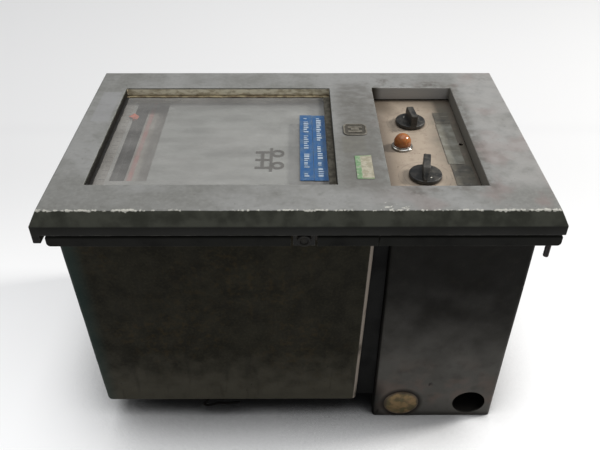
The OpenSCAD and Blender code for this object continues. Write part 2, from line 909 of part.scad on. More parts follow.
// Laced wires from the transformer, through the passage, to the power terminals
module wiring_loom() {
    r = 2.5;
    drop_x = 72;
    color("#3d3a35") {
        rod_x(passage_y, passage_z, 2, drop_x, r);
        disc(drop_x, passage_y, 8, passage_z, r);
        translate([drop_x, passage_y, passage_z]) sphere(r = r * 1.12);
    }
}

// ---- door ----

module door_frame() {
    color("#7f7f7c") difference() {
        union() {
            difference() {
                lid_solid(0, skirt_z);
                lid_solid(door_wall, skirt_z - 1);
            }
            block(-door_l / 2, flange_x0 - 1.5, -door_w / 2, door_w / 2, face_z - drip_drop, skirt_z + 2);
            block(window_x0 - door_wall, window_x1 + door_wall, window_y0 - door_wall,
                window_y1 + door_wall, glass_z + 0.8, face_z - 1);
            block(control_x0 - door_wall, control_x1 + door_wall, control_y0 - door_wall,
                control_y1 + door_wall, panel_z + 0.6, face_z - 1);
            seal_rim();
            latch_lug();
        }
        block(window_x0, window_x1, window_y0, window_y1, skirt_z - 1, face_z + 1);
        block(control_x0, control_x1, control_y0, control_y1, skirt_z - 1, face_z + 1);
    }
}

// Rib that presses on the gasket
module seal_rim() {
    in = (seal_w - rim_t) / 2;
    frame_slab(seal_x0 + in, seal_x1 - in, -seal_y + in, seal_y - in, flange_z + seal_h + gap,
        face_z - 1.5, rim_t);
}

// Tongue that hangs through the flange's notch and carries the latch
module latch_lug() {
    y = -door_w / 2 + door_wall;
    difference() {
        block(latch_x - lug_w / 2, latch_x + lug_w / 2, y - eps, y + lug_t, lip_z + 0.3, skirt_z + 5);
        rod_y(latch_x, latch_z, y - 1, y + lug_t + 1, latch_stem_r + running);
    }
}

module window_glass() {
    color("#cfd6d4", 0.35) block(window_x0 - 2.2, window_x1 + 2.2, window_y0 - 2.2, window_y1 + 2.2,
        glass_z - glass_t, glass_z);
}

module glass_gasket() {
    z1 = glass_z + 0.8;
    color("#7d7458") difference() {
        block(window_x0 - 2.2, window_x1 + 2.2, window_y0 - 2.2, window_y1 + 2.2, glass_z, z1);
        block(window_x0 + 1.5, window_x1 - 4, window_y0 + 1.5, window_y1 - 2.5, glass_z - 1, z1 + 1);
    }
}

// Spring clips screwed under the door that hold the glass
module glass_clips() {
    top = face_z - door_wall;
    color("#8d8c84") for (x = [-90, -10], s = [-1, 1]) {
        edge = s > 0 ? window_y1 : -window_y0;
        y0 = edge - 1.5;
        y1 = edge + 9;
        mirror([0, s > 0 ? 0 : 1, 0]) {
            block(x - 5, x + 5, y0, y1, glass_z - glass_t - 1, glass_z - glass_t);
            block(x - 5, x + 5, edge + 3, edge + 4, glass_z - glass_t - eps, top);
            disc(x, edge + 7, glass_z - glass_t - 2, top, 1.5);
        }
    }
}

module door_nameplate() {
    color("#4a4a46") round_block(28.3, 43.1, -6.4, 7.6, face_z, face_z + 0.6, 6);
}

module inspection_sticker() {
    color("#6f8f6a") block(33.3, 43.2, -55.5, -30.7, face_z, face_z + 0.15);
}

module label_tape() {
    color("#3f7fb0") {
        block(0.8, 8.9, -48.3, 30.7, glass_z, glass_z + 0.4);
        block(9.1, 17.4, -48.6, 30.2, glass_z, glass_z + 0.4);
    }
}

// ---- latch ----

module latch_button() {
    front = -door_w / 2 + door_wall;
    color("#3a3934") difference() {
        union() {
            rod_y(latch_x, latch_z, front - gap - 2, front - gap, latch_head_r);
            rod_y(latch_x, latch_z, front - 0.5, cam_y + 1.4, latch_stem_r);
        }
        block(latch_x - 5, latch_x + 5, front - 3, front - 1.3, latch_z - 0.5, latch_z + 0.5);
    }
}

module latch_cam() {
    color("#7d7c74") difference() {
        union() {
            rod_y(latch_x, latch_z, cam_y, cam_y + 1.3, 3.4);
            block(latch_x, latch_x + cam_l, cam_y, cam_y + 1.3, latch_z - 2.1, latch_z + 2.1);
        }
        rod_y(latch_x, latch_z, cam_y - 1, cam_y + 3, latch_stem_r);
    }
}

mounting_flange();
main_case();
terminal_box();
case_web();
knockout_plug();
rear_cover();
cover_screws();
panel_studs();
case_hinge_leaves();
hinge_pins();
case_gasket();
earth_wire();
chassis_frame();
scale_plate();
scale_strip();
slot_backing();
plate_badge();
face_screws();
transformer_core();
transformer_coil();
capacitor_can();
tube_socket();
oscillator_tube();
component_board();
relay_frame();
relay_coil();
relay_armature();
magnet();
pole_core();
movement_bridges();
moving_coil();
pointer_arm();
guide_rail();
set_screw();
set_pointer();
control_panel();
legend_plates();
rotary_switch();
potentiometer();
selector_shaft();
trimmer_shaft();
selector_knob();
trimmer_knob();
lamp_bezel();
lamp_lens();
lamp_holder();
rear_terminal_block();
power_terminal_strip();
terminal_screws();
wiring_loom();
door_frame();
window_glass();
glass_gasket();
glass_clips();
door_nameplate();
inspection_sticker();
label_tape();
door_hinge_leaves();
latch_button();
latch_cam();
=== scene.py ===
"""Looks of a panel-mounted indicating controller that lies on its back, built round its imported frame.

Shapes are worked in millimetres of the shared frame and become metres when a piece is made.
"""
import json
import math
import random
from functools import reduce

import bmesh
import bpy
from mathutils import Matrix, Vector, noise


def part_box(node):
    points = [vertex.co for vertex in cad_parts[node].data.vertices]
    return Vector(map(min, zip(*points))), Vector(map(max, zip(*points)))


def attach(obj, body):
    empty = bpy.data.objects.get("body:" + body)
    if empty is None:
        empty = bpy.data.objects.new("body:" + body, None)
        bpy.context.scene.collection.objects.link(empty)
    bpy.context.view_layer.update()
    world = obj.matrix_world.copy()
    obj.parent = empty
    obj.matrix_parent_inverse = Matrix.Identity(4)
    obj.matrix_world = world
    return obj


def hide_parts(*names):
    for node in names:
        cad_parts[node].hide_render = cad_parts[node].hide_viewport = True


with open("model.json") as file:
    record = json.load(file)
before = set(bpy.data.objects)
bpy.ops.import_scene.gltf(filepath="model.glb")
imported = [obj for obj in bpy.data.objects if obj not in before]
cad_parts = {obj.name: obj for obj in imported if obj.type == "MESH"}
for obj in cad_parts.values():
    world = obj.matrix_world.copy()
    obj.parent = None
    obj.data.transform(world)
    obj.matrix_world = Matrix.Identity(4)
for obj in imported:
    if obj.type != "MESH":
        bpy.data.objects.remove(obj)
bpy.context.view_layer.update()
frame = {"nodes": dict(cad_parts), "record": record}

MM = 0.001
RECORD = frame["record"]
SLOT_OF = {part["node"]: part["material_slot"] for part in RECORD["subparts"]}
BODY_OF = {node: body for body, nodes in RECORD["behaviour"]["bodies"].items() for node in nodes}
CHANCE = random.Random(7)
MATERIALS = {}


def corners(node):
    """Lowest and highest corner of a CAD node, in millimetres."""
    low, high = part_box(node)
    return low / MM, high / MM


def middle(node):
    low, high = corners(node)
    return (low + high) / 2


DOOR_LOW, DOOR_HIGH = corners("door_frame")
FACE_Z = DOOR_HIGH.z
PANEL_Z = corners("control_panel")[1].z
PLATE_Z = corners("scale_plate")[1].z
GLASS_LOW, GLASS_HIGH = corners("window_glass")
CASE_LOW, CASE_HIGH = corners("main_case")
BOX_LOW, BOX_HIGH = corners("terminal_box")
SELECTOR = middle("selector_knob")
TRIMMER = middle("trimmer_knob")
LAMP = middle("lamp_bezel")
PLUG = middle("knockout_plug")
FRONT_EDGE_Y = DOOR_LOW.y + 4.2
SKIRT_Z = FACE_Z - 8.2
LUG_Z = FACE_Z - 15
END_DRAFT = 0.0234
SIDE_DRAFT = 0.013
CAMERA_PLACE = (-0.00135, -0.3716, 0.3952)
CAMERA_TURN = (37.56, 0.37, 0.13)
CAMERA_LENS, CAMERA_SENSOR = 40.06, 36


# ---- shader building ----

def srgb(red, green, blue):
    """Linear colour of an 8-bit screen colour."""
    return tuple((max(c, 1) / 255 * 0.948 + 0.052) ** 2.4 for c in (red, green, blue)) + (1.0,)


class Shader:
    """One procedural material, with its patterns laid out in millimetres of the shared frame."""

    def __init__(self, name):
        self.material = MATERIALS[name] = bpy.data.materials.new(name)
        self.material.use_nodes = True
        self.tree = self.material.node_tree
        self.tree.nodes.clear()
        self.colour = None
        metres = self.add("TexCoord").outputs["Object"]
        self.place = self.vectors("SCALE", {0: metres, "Scale": 1 / MM}).outputs[0]
        self.x, self.y, self.z = self.add("SeparateXYZ", {0: self.place}).outputs

    def add(self, kind, inputs=None, **settings):
        """A new node with its settings, and with its inputs given by number or by name."""
        made = self.tree.nodes.new("ShaderNode" + kind)
        for key, value in settings.items():
            setattr(made, key, value)
        for key, value in (inputs or {}).items():
            if isinstance(value, bpy.types.NodeSocket):
                self.tree.links.new(value, made.inputs[key])
            else:
                made.inputs[key].default_value = value
        return made

    def maths(self, operation, a, b=0.0):
        return self.add("Math", {0: a, 1: b}, operation=operation).outputs[0]

    def vectors(self, operation, inputs):
        return self.add("VectorMath", inputs, operation=operation)

    def plus(self, a, b):
        return self.maths("ADD", a, b)

    def minus(self, a, b):
        return self.maths("SUBTRACT", a, b)

    def both(self, *masks):
        return reduce(lambda a, b: self.maths("MULTIPLY", a, b), masks)

    def either(self, *masks):
        return reduce(lambda a, b: self.maths("MAXIMUM", a, b), masks)

    def ramp(self, value, low, high, start=0.0, end=1.0):
        """Smooth step of a value, from start at low to end at high."""
        inputs = dict(enumerate((value, low, high, start, end)))
        return self.add("MapRange", inputs, interpolation_type="SMOOTHSTEP").outputs["Result"]

    def noise(self, size, detail=3.0, stretch=(1, 1, 1), seed=0.0):
        """Cloudy value round 0.5 whose lumps are about size millimetres across."""
        shift = (seed * 37, seed * 23, seed * 51)
        moved = self.vectors("MULTIPLY_ADD", {0: self.place, 1: stretch, 2: shift})
        inputs = {"Vector": moved.outputs[0], "Scale": 1 / size, "Detail": detail}
        return self.add("TexNoise", inputs).outputs["Fac"]

    def patches(self, low, high, *shape, **seed):
        """Mask that rises where the noise of that shape goes from low to high."""
        return self.ramp(self.noise(*shape, **seed), low, high)

    def mix(self, share, a, b):
        """Colour between two others, each a socket or an 8-bit screen colour."""
        a, b = (srgb(*c) if isinstance(c, tuple) else c for c in (a, b))
        return self.add("Mix", {0: share, 6: a, 7: b}, data_type="RGBA").outputs[2]

    def coat(self, share, a, b):
        """Starts the colour from two others."""
        self.colour = self.mix(share, a, b)

    def tint(self, shade, *masks):
        """Lays a shade over the colour so far, where every mask is high."""
        self.colour = self.mix(self.both(*masks), self.colour, shade)

    def within(self, value, low, high, soft=1.0):
        """1 between low and high, with soft borders."""
        rise = self.ramp(value, low - soft, low + soft)
        return self.both(rise, self.ramp(value, high + soft, high - soft))

    def distance(self, place, kept=(1, 1, 1)):
        """Distance from a place, along the axes that are kept."""
        here = self.vectors("MULTIPLY", {0: self.place, 1: kept}).outputs[0]
        return self.vectors("DISTANCE", {0: here, 1: place}).outputs["Value"]

    def spot(self, x, y, radius, wander=0.6):
        """Patch on the face round a place, ragged at its rim."""
        ragged = self.both(self.noise(radius * 0.7, 4), radius * wander * 2)
        away = self.distance((x, y, 0), (1, 1, 0))
        return self.ramp(self.plus(away, ragged), radius * 1.6, radius * 0.5)

    def edges(self, size):
        """1 on edges, where a rounded normal leaves the true one."""
        rounded = self.add("Bevel", {"Radius": size * MM}, samples=4).outputs[0]
        true = self.add("NewGeometry").outputs["Normal"]
        return self.ramp(self.vectors("DOT_PRODUCT", {0: rounded, 1: true}).outputs["Value"], 0.985, 0.8)

    def facing(self, axis):
        """How far the surface's normal points along one axis, from -1 to 1."""
        normal = self.add("TexCoord").outputs["Normal"]
        return self.add("SeparateXYZ", {0: normal}).outputs["XYZ".index(axis)]

    def openness(self, reach, samples=4):
        """1 in the open and 0 in a deep corner, looking as far as reach millimetres."""
        return self.add("AmbientOcclusion", {"Distance": reach * MM}, samples=samples).outputs["AO"]

    def cavity(self, reach):
        """1 close to other surfaces, where dirt gathers and shade falls."""
        return self.ramp(self.openness(reach), 0.85, 0.35)

    def finish(self, roughness, metallic=0.0, bump=None, depth=0.05, **extra):
        """Principled surface of the colour, with a bump depth in millimetres."""
        inputs = {"Base Color": self.colour, "Roughness": roughness, "Metallic": metallic}
        inputs.update({key.replace("_", " "): value for key, value in extra.items()})
        if bump is not None:
            inputs["Normal"] = self.add("Bump", {"Distance": depth * MM, "Height": bump}).outputs[0]
        return self.output(self.add("BsdfPrincipled", inputs))

    def output(self, shader):
        self.add("OutputMaterial", {"Surface": shader.outputs[0]})
        return self.material


# ---- materials ----

def enamel(name, base, stain, worn, edge=0.5, rough=0.5, dusty=0.0):
    """Old sheet paint: cloudy stains, fine specks, rubbed edges and orange-peel relief."""
    s = Shader(name)
    clouds = s.noise(14, 5)
    s.coat(s.ramp(clouds, 0.5, 0.72), base, stain)
    s.tint(stain, s.patches(0.66, 0.74, 1.1, 2, seed=3), 0.5)
    rubbed = s.both(s.edges(edge), s.patches(0.4, 0.56, 2.5, 4, seed=5))
    s.tint(worn, rubbed)
    dust = s.both(s.ramp(s.facing("Z"), 0.5, 1.0), s.patches(0.3, 0.7, 6, 4, seed=9), dusty)
    s.tint((120, 116, 106), dust)
    roughness = s.ramp(clouds, 0.3, 0.7, rough - 0.08, rough + 0.12)
    peel = s.plus(s.noise(0.8, 2, seed=2), s.both(rubbed, -1.2))
    return s.finish(roughness, 0.0, peel, 0.05, Specular_IOR_Level=0.06)


def metal(name, base, tarnish, rough=0.35, grain=(1, 1, 1), metallic=1.0, tarnished=0.5):
    """Bare or plated metal with drawn grain, tarnish and small pits."""
    s = Shader(name)
    clouds = s.noise(5, 5)
    lines = s.noise(0.35, 2, grain, seed=4)
    spread = s.ramp(clouds, 0.64 - tarnished * 0.3, 0.74)
    s.coat(spread, base, tarnish)
    s.tint((40, 34, 28), s.cavity(2.5), 0.7)
    roughness = s.plus(s.ramp(spread, 0, 1, rough, rough + 0.3), s.ramp(lines, 0.2, 0.8, -0.08, 0.08))
    shine = s.ramp(spread, 0, 1, metallic, metallic * 0.6)
    return s.finish(roughness, shine, lines, 0.015)


def moulded(name, base, bloom, rough=0.4, relief=0.03, scuffed=0.5, **extra):
    """Moulded plastic, rubber or phenolic, bloomed and scuffed at its edges."""
    s = Shader(name)
    clouds = s.noise(4, 5)
    scuffs = s.patches(0.58, 0.7, 1.2, 4, (1, 0.25, 1), seed=6)
    s.coat(s.both(s.ramp(clouds, 0.4, 0.7), 0.6), base, bloom)
    s.tint(bloom, scuffs, scuffed)
    s.tint(bloom, s.edges(0.35), scuffed)
    roughness = s.ramp(clouds, 0.3, 0.7, rough - 0.05, rough + 0.2)
    return s.finish(roughness, 0.0, s.noise(0.5, 3, seed=8), relief, **extra)


def door_paint():
    """Grey enamel over the door casting, chipped along its front edge and darker on its sloping sides as
    painted shade.
    """
    s = Shader("door_paint")
    control_low, control_high = corners("control_panel")
    broad = s.noise(34, 5)
    fine = s.noise(7, 5, (1, 1.6, 1), seed=2)
    s.coat(s.ramp(broad, 0.34, 0.66), (136, 136, 134), (112, 112, 108))
    s.tint((92, 91, 86), s.ramp(fine, 0.5, 0.78), 0.4)
    s.tint((160, 160, 156), s.patches(0.4, 0.7, 2.2, 3, seed=31), 0.14)
    pinkish = s.both(s.patches(0.5, 0.66, 26, 4, seed=7), s.ramp(s.x, 20, 110))
    s.tint((124, 108, 104), pinkish, 0.55)
    patch = s.both(s.within(s.x, -135, -123, 0.8), s.within(s.y, 12, 54, 1.0))
    s.tint((142, 142, 143), patch, 0.5)
    shade = s.both(s.within(s.x, 27, 41, 1.5), s.within(s.y, -27, -7, 1.2))
    s.tint((112, 110, 96), shade, 0.45)
    for x, y, radius in ((36, 37, 7), (122, -24, 9), (92, 66, 10), (66, -69, 6), (133, 76, 9), (138, -33, 6),
                         (60, 71, 7)):
        stain = s.both(s.spot(x, y, radius), s.patches(0.36, 0.62, 2.4, 4, seed=x))
        s.tint((78, 72, 67), stain, 0.75)
    crossbar = s.both(s.within(s.x, 26, 48, 5), s.within(s.y, -66, 66, 8), s.ramp(fine, 0.3, 0.6, 0.35, 0.75))
    s.tint((96, 94, 89), crossbar)
    pale_end = s.both(s.ramp(s.x, 108, 118), s.ramp(s.noise(9, 4, seed=37), 0.3, 0.6, 0.2, 0.55),
                      s.ramp(s.y, -70, -54))
    s.tint((156, 154, 151), pale_end)
    rim_x = s.maths("ABSOLUTE", s.plus(s.x, -(control_low.x + control_high.x) / 2))
    by_opening = s.both(s.ramp(rim_x, 36, 30), s.ramp(s.maths("ABSOLUTE", s.y), 72, 65))
    smears = s.both(by_opening, s.patches(0.42, 0.66, 6, 5, seed=41))
    s.tint((90, 86, 80), smears, 0.6)
    s.tint((72, 68, 62), s.patches(0.7, 0.76, 1.3, 2, seed=11), 0.6)

    # The sloping sides, the skirt and the lug below get darker copies of the grey as painted shade, eased
    # towards the back.
    side = s.ramp(s.facing("Z"), 0.86, 0.7)
    skirt = s.ramp(s.z, SKIRT_Z + 0.6, SKIRT_Z - 0.6)
    shaded_side_colour = s.mix(s.patches(0.35, 0.68, 9, 5, seed=4), (68, 69, 61), (50, 51, 44))
    shaded_side_colour = s.mix(skirt, shaded_side_colour, (24, 24, 21))
    shaded_side_colour = s.mix(s.ramp(s.z, LUG_Z + 0.4, LUG_Z - 0.4), shaded_side_colour, (16, 16, 14))
    back = s.ramp(s.y, -60, 60)
    shaded_side_colour = s.mix(s.both(back, 0.4), shaded_side_colour, (96, 96, 90))
    inside = s.both(s.within(s.x, control_low.x + 3, control_high.x - 3), s.within(s.y, -70, 70),
                    s.ramp(s.x, 40, 42), side)
    # Walls of the control opening: pale grey, with painted shade on its right and left walls.
    opening_wall = s.mix(s.ramp(s.x, control_high.x - 9, control_high.x - 4), (182, 180, 176), (80, 76, 62))
    opening_wall = s.mix(s.ramp(s.x, control_low.x + 14, control_low.x + 7), opening_wall, (78, 74, 66))
    shaded_side_colour = s.mix(inside, shaded_side_colour, opening_wall)
    s.tint(shaded_side_colour, side)

    window_wall = s.both(
        s.within(s.x, GLASS_LOW.x - 1, GLASS_HIGH.x + 1, 0.4),
        s.within(s.y, GLASS_LOW.y - 1, GLASS_HIGH.y + 1, 0.4), side, s.ramp(s.z, FACE_Z - 0.4, FACE_Z - 1.2))
    # Walls of the window: a tan back wall made pale as painted light, and the other walls dark as painted
    # shade, darkest on the left.
    tan = s.mix(s.patches(0.4, 0.66, 5, 4, (1, 1, 2), seed=13), (242, 234, 210), (194, 182, 156))
    shaded_window_walls = s.mix(s.ramp(s.x, 0, 10), (24, 22, 19), (66, 60, 46))
    wall = s.mix(s.ramp(s.y, GLASS_HIGH.y - 3.4, GLASS_HIGH.y - 2.4), shaded_window_walls, tan)
    s.tint(wall, window_wall)

    from_edge = s.maths("ABSOLUTE", s.plus(s.y, -FRONT_EDGE_Y))
    from_top = s.maths("ABSOLUTE", s.plus(s.z, -FACE_Z))
    reach = s.plus(from_edge, from_top)
    to_end = s.ramp(s.maths("ABSOLUTE", s.x), 60, 144)
    width = s.plus(s.both(to_end, 0.6), 0.25)
    ragged = s.both(s.plus(s.noise(1.5, 5, (1, 0.8, 0.8), seed=21), -0.48), 4.6)
    patches = s.both(s.plus(s.noise(16, 3, seed=23), -0.5), 3.0)
    width = s.plus(width, patches)
    chipped = s.ramp(s.minus(s.plus(width, ragged), reach), -0.2, 0.25)
    rubbed = s.both(s.edges(0.8), s.patches(0.46, 0.6, 5, 4, seed=15), 0.6)
    scrape = s.both(s.within(s.x, 45, 59, 1.0), s.within(s.y, -84, -77.5, 0.8))
    scratches = s.both(scrape, s.patches(0.58, 0.62, 1.7, 3, (0.5, 1, 1), seed=17))
    bare = s.either(chipped, rubbed, scratches)
    s.tint((192, 190, 180), bare, 0.85)
    # Dirt and painted shade close to other surfaces, weaker on the window walls.
    dirt_and_shade = s.both(s.cavity(6), s.ramp(window_wall, 0, 1, 0.5, 0.15))
    s.tint((62, 57, 48), dirt_and_shade)
    roughness = s.ramp(broad, 0.3, 0.7, 0.42, 0.62)
    relief = s.plus(s.both(s.noise(1.6, 4, seed=19), 0.6), s.both(bare, -0.8))
    gloss = s.ramp(side, 0, 1, 0.42, 0.12)
    return s.finish(roughness, 0.0, relief, 0.09, Specular_IOR_Level=gloss)


def case_paint():
    """Dark olive enamel, mottled with rust, greyer towards its bottom, with a painted highlight along one
    corner.
    """
    s = Shader("case_paint")
    clouds = s.noise(11, 6)
    s.coat(s.ramp(clouds, 0.3, 0.72), (31, 29, 20), (23, 22, 16))
    rust = s.both(s.patches(0.44, 0.72, 4, 6, seed=3), s.patches(0.4, 0.62, 40, 3, seed=5))
    s.tint((50, 40, 21), rust, 0.45)
    s.tint((48, 45, 34), s.patches(0.4, 0.75, 1.6, 3, seed=27), 0.3)
    foot = s.ramp(s.plus(s.z, s.both(clouds, 40)), 92, CASE_LOW.z + 22)
    s.tint((70, 67, 58), foot, 0.7)
    s.tint((22, 21, 17), s.patches(0.54, 0.7, 5, 5, (1, 1, 0.18), seed=8), 0.3)
    s.tint((16, 15, 13), s.patches(0.68, 0.78, 3, 3, seed=10), 0.6)
    # Painted highlight along the right front corner, where the rounded edge catches the light.
    depth = s.minus(CASE_HIGH.z, s.z)
    end_gap = s.minus(s.minus(CASE_HIGH.x, s.x), s.both(depth, END_DRAFT))
    side_gap = s.minus(s.minus(s.y, CASE_LOW.y), s.both(depth, SIDE_DRAFT))
    corner = s.both(s.ramp(end_gap, 2.6, 1.9), s.ramp(side_gap, 2.2, 1.6))
    corner_highlight = s.both(corner, s.patches(0.3, 0.5, 7, 5, (1, 1, 0.3), seed=12))
    s.tint((142, 132, 122), corner_highlight, 0.8)
    rubbed = s.both(s.edges(0.9), s.patches(0.48, 0.6, 3, 4, seed=14))
    s.tint((72, 68, 58), rubbed, 0.4)
    far = s.ramp(s.x, CASE_LOW.x + 14, CASE_LOW.x + 3)
    s.tint((36, 54, 52), far, 0.5)
    roughness = s.ramp(clouds, 0.3, 0.7, 0.4, 0.62)
    return s.finish(roughness, 0.0, s.noise(1.2, 4, seed=16), 0.08, Specular_IOR_Level=0.04)


def box_paint():
    """Dark enamel of the terminal box, faded grey near its foot, with dark smudges, and painted shade on its
    left end and round the knockout plug.
    """
    s = Shader("box_paint")
    clouds = s.noise(20, 6, seed=1)
    fade = s.ramp(s.plus(s.z, s.both(clouds, 60)), 160, 40)
    s.coat(fade, (17, 16, 13), (80, 78, 74))
    s.tint((34, 32, 27), s.patches(0.48, 0.76, 8, 5, seed=2), 0.3)
    warm = s.both(s.patches(0.46, 0.62, 18, 4, seed=11), s.ramp(s.z, 70, 20), 0.4)
    s.tint((98, 82, 74), warm)
    smudge = s.both(s.patches(0.68, 0.76, 6, 4, (1, 1, 0.6), seed=4), 0.7)
    s.tint((24, 22, 20), smudge)
    # Painted shadow in a ring round the knockout plug.
    ring = s.distance((PLUG.x, 0, PLUG.z), (1, 0, 1))
    plug_shadow_ring = s.both(s.ramp(ring, 16, 12.4), s.ramp(s.y, BOX_LOW.y + 3, BOX_LOW.y + 1))
    s.tint((26, 22, 19), plug_shadow_ring, 0.8)
    rubbed = s.both(s.edges(0.8), s.patches(0.46, 0.6, 3, 4, seed=6))
    s.tint((96, 88, 78), rubbed, 0.5)
    s.tint((32, 29, 26), s.ramp(s.z, 6, 1), 0.6)
    # Painted shade at the lower left end, beside the gap under the case.
    shaded_lower_left = s.both(s.ramp(s.x, BOX_LOW.x + 9, BOX_LOW.x + 1), s.ramp(s.z, 46, 22))
    s.tint((24, 22, 20), shaded_lower_left, 0.75)
    # Painted shade on the left face, which faces the dark gap.
    shaded_left_face = s.both(s.ramp(s.facing("X"), -0.5, -0.8), 0.85)
    s.tint((14, 13, 11), shaded_left_face)
    roughness = s.ramp(clouds, 0.3, 0.7, 0.4, 0.62)
    return s.finish(roughness, 0.0, s.noise(1.1, 4, seed=9), 0.07, Specular_IOR_Level=0.05)


def panel_paint():
    """Faded beige enamel, greyer to one side, with rust freckles, printed dial rings and painted shade by the
    walls of its opening.
    """
    s = Shader("panel_paint")
    clouds = s.noise(15, 5)
    # Greyer and darker to the right: a grey-green tone together with painted shade from the opening's right
    # wall.
    across = s.ramp(s.plus(s.x, s.both(clouds, 18)), 88, 112)
    s.coat(across, (163, 149, 132), (98, 92, 82))
    # Painted shade along the opening's left wall.
    s.tint((142, 130, 118), s.ramp(s.x, 62, 54), 0.6)
    s.tint((134, 118, 104), s.patches(0.5, 0.7, 5, 5, seed=3), 0.4)
    s.tint((86, 56, 44), s.patches(0.66, 0.72, 1.5, 3, seed=6), 0.75)
    for centre, inner in ((SELECTOR, 12.2), (TRIMMER, 12.6)):
        away = s.distance((centre.x, centre.y, PANEL_Z))
        rings = s.either(*(s.within(away, r, r + 0.3, 0.2) for r in (inner, inner + 3.2)))
        worn_print = s.patches(0.35, 0.6, 4, 3, seed=8)
        s.tint((92, 84, 78), rings, worn_print, 0.6)
    corner_shade = s.both(s.ramp(s.x, 78, 58), s.ramp(s.y, 22, 52))
    shaded = s.either(s.both(s.ramp(s.x, 69, 54), 0.62), s.both(s.ramp(s.y, 38, 60), 0.62),
                      s.both(corner_shade, 0.95))
    s.tint((88, 77, 64), shaded)
    grease = s.both(s.patches(0.5, 0.68, 9, 5, seed=14), s.ramp(s.x, 84, 96), 0.5)
    s.tint((92, 90, 76), grease)
    # Darker close to the walls and knobs: dirt and painted shade.
    s.tint((74, 64, 54), s.cavity(7), 0.6)
    s.tint((176, 166, 152), s.edges(0.6), 0.4)
    return s.finish(s.ramp(clouds, 0.3, 0.7, 0.45, 0.65), 0.0, s.noise(1.4, 3, seed=9), 0.05)


def legend_paint():
    """Stuck-on legend strips: pale in the middle and dark at both ends, rubbed and grimy."""
    s = Shader("legend_paint")
    low, high = corners("legend_plates")
    pale = s.within(s.y, -24.4, 25.6, 0.1)
    ink = s.mix(s.patches(0.4, 0.64, 6, 5), (92, 88, 78), (74, 72, 66))
    light = s.mix(s.patches(0.36, 0.62, 7, 5, seed=2), (130, 129, 120), (108, 105, 94))
    s.coat(pale, ink, light)
    rulings = s.within(s.maths("MODULO", s.plus(s.y, 200), 7.5), 3.4, 3.8, 0.2)
    inside = s.both(s.within(s.x, low.x + 2.2, high.x - 3.4, 0.2), s.patches(0.36, 0.56, 3, 3, seed=4))
    s.tint((164, 160, 148), rulings, inside, 0.5)
    s.tint((168, 166, 158), s.edges(0.3), 0.5)
    return s.finish(0.42, 0.0, s.noise(1.2, 3), 0.02)


def plate_paint():
    """Grey enamel of the scale plate, with fine wipe marks and dust."""
    s = Shader("plate_paint")
    wipes = s.noise(9, 5, (0.35, 1, 1))
    s.coat(s.ramp(wipes, 0.36, 0.66), (147, 146, 143), (130, 129, 126))
    s.tint((104, 102, 98), s.patches(0.6, 0.72, 3, 4, seed=2), 0.3)
    s.tint((146, 137, 130), s.ramp(s.x, -80, -125), 0.3)
    # Painted shadow of the window's back wall along the plate's back edge.
    s.tint((88, 86, 84), s.ramp(s.y, 44, 60, 0.0, 0.35))
    return s.finish(0.5, 0.0, s.noise(1.0, 3), 0.03)


def strip_paint():
    """Scale strip and slot backing: warm grey, with a faded pink line along the slot."""
    s = Shader("strip_paint")
    clouds = s.noise(8, 5, (1, 0.4, 1))
    s.coat(s.ramp(clouds, 0.36, 0.66), (140, 134, 127), (122, 115, 108))
    pink = s.within(s.x, -105.6, -102.6, 0.9)
    s.tint((158, 106, 102), pink, s.ramp(s.noise(12, 3, seed=2), 0.3, 0.6, 0.4, 0.9))
    s.tint((68, 64, 58), s.patches(0.62, 0.72, 1.4, 3, seed=4), 0.4)
    return s.finish(0.6, 0.0, s.noise(1.0, 3), 0.03)


def index_paint():
    """Orange-red flag of the set index, on a carriage that is dull and dark below the plate."""
    s = Shader("index_paint")
    clouds = s.noise(3, 5)
    flag = s.mix(s.ramp(clouds, 0.4, 0.66), (204, 92, 58), (160, 66, 44))
    flag = s.mix(s.both(s.edges(0.3), 0.6), flag, (196, 130, 100))
    carriage = s.mix(s.ramp(clouds, 0.4, 0.66), (40, 34, 32), (26, 23, 22))
    s.coat(s.ramp(s.z, PLATE_Z - 0.6, PLATE_Z), carriage, flag)
    return s.finish(0.5, 0.0, s.noise(0.8, 3, seed=5), 0.03)


def badge_paint():
    """Worn badge: grey-brown enamel with pale rubbed ridges that also paint its highlights, and dirt in its
    sunken parts.
    """
    s = Shader("badge_paint")
    clouds = s.noise(3, 5)
    s.coat(s.ramp(clouds, 0.38, 0.66), (116, 111, 100), (92, 87, 76))
    sunken = s.ramp(s.z, corners("door_nameplate")[1].z - 0.16, corners("door_nameplate")[1].z - 0.3)
    s.tint((52, 48, 40), sunken, 0.85)
    # Pale rubbed ridges, which also stand in as painted highlights on the raised rim and bars.
    rubbed = s.both(s.edges(0.3), s.patches(0.38, 0.56, 1.5, 4, seed=3))
    s.tint((156, 151, 138), rubbed, 0.7)
    return s.finish(0.5, 0.0, s.noise(0.8, 3, seed=5), 0.04)


def plug_brass():
    """Tarnished knockout plug: tan centre, greenish tints and a dark rim."""
    s = Shader("plug_brass")
    clouds = s.noise(6, 5)
    s.coat(s.ramp(clouds, 0.38, 0.62), (122, 98, 60), (84, 72, 42))
    s.tint((76, 76, 48), s.patches(0.5, 0.64, 4, 4, seed=3), 0.45)
    pinkish = s.both(s.patches(0.52, 0.66, 5, 4, seed=5), s.ramp(s.x, PLUG.x, PLUG.x + 8))
    s.tint((130, 94, 72), pinkish, 0.6)
    ring = s.distance((PLUG.x, 0, PLUG.z), (1, 0, 1))
    dark_rim = s.ramp(s.plus(ring, s.both(clouds, 3)), 11.2, 12.9)
    s.tint((58, 46, 34), dark_rim, 0.8)
    return s.finish(s.ramp(clouds, 0.3, 0.7, 0.4, 0.65), 0.35, s.noise(0.8, 3), 0.04)


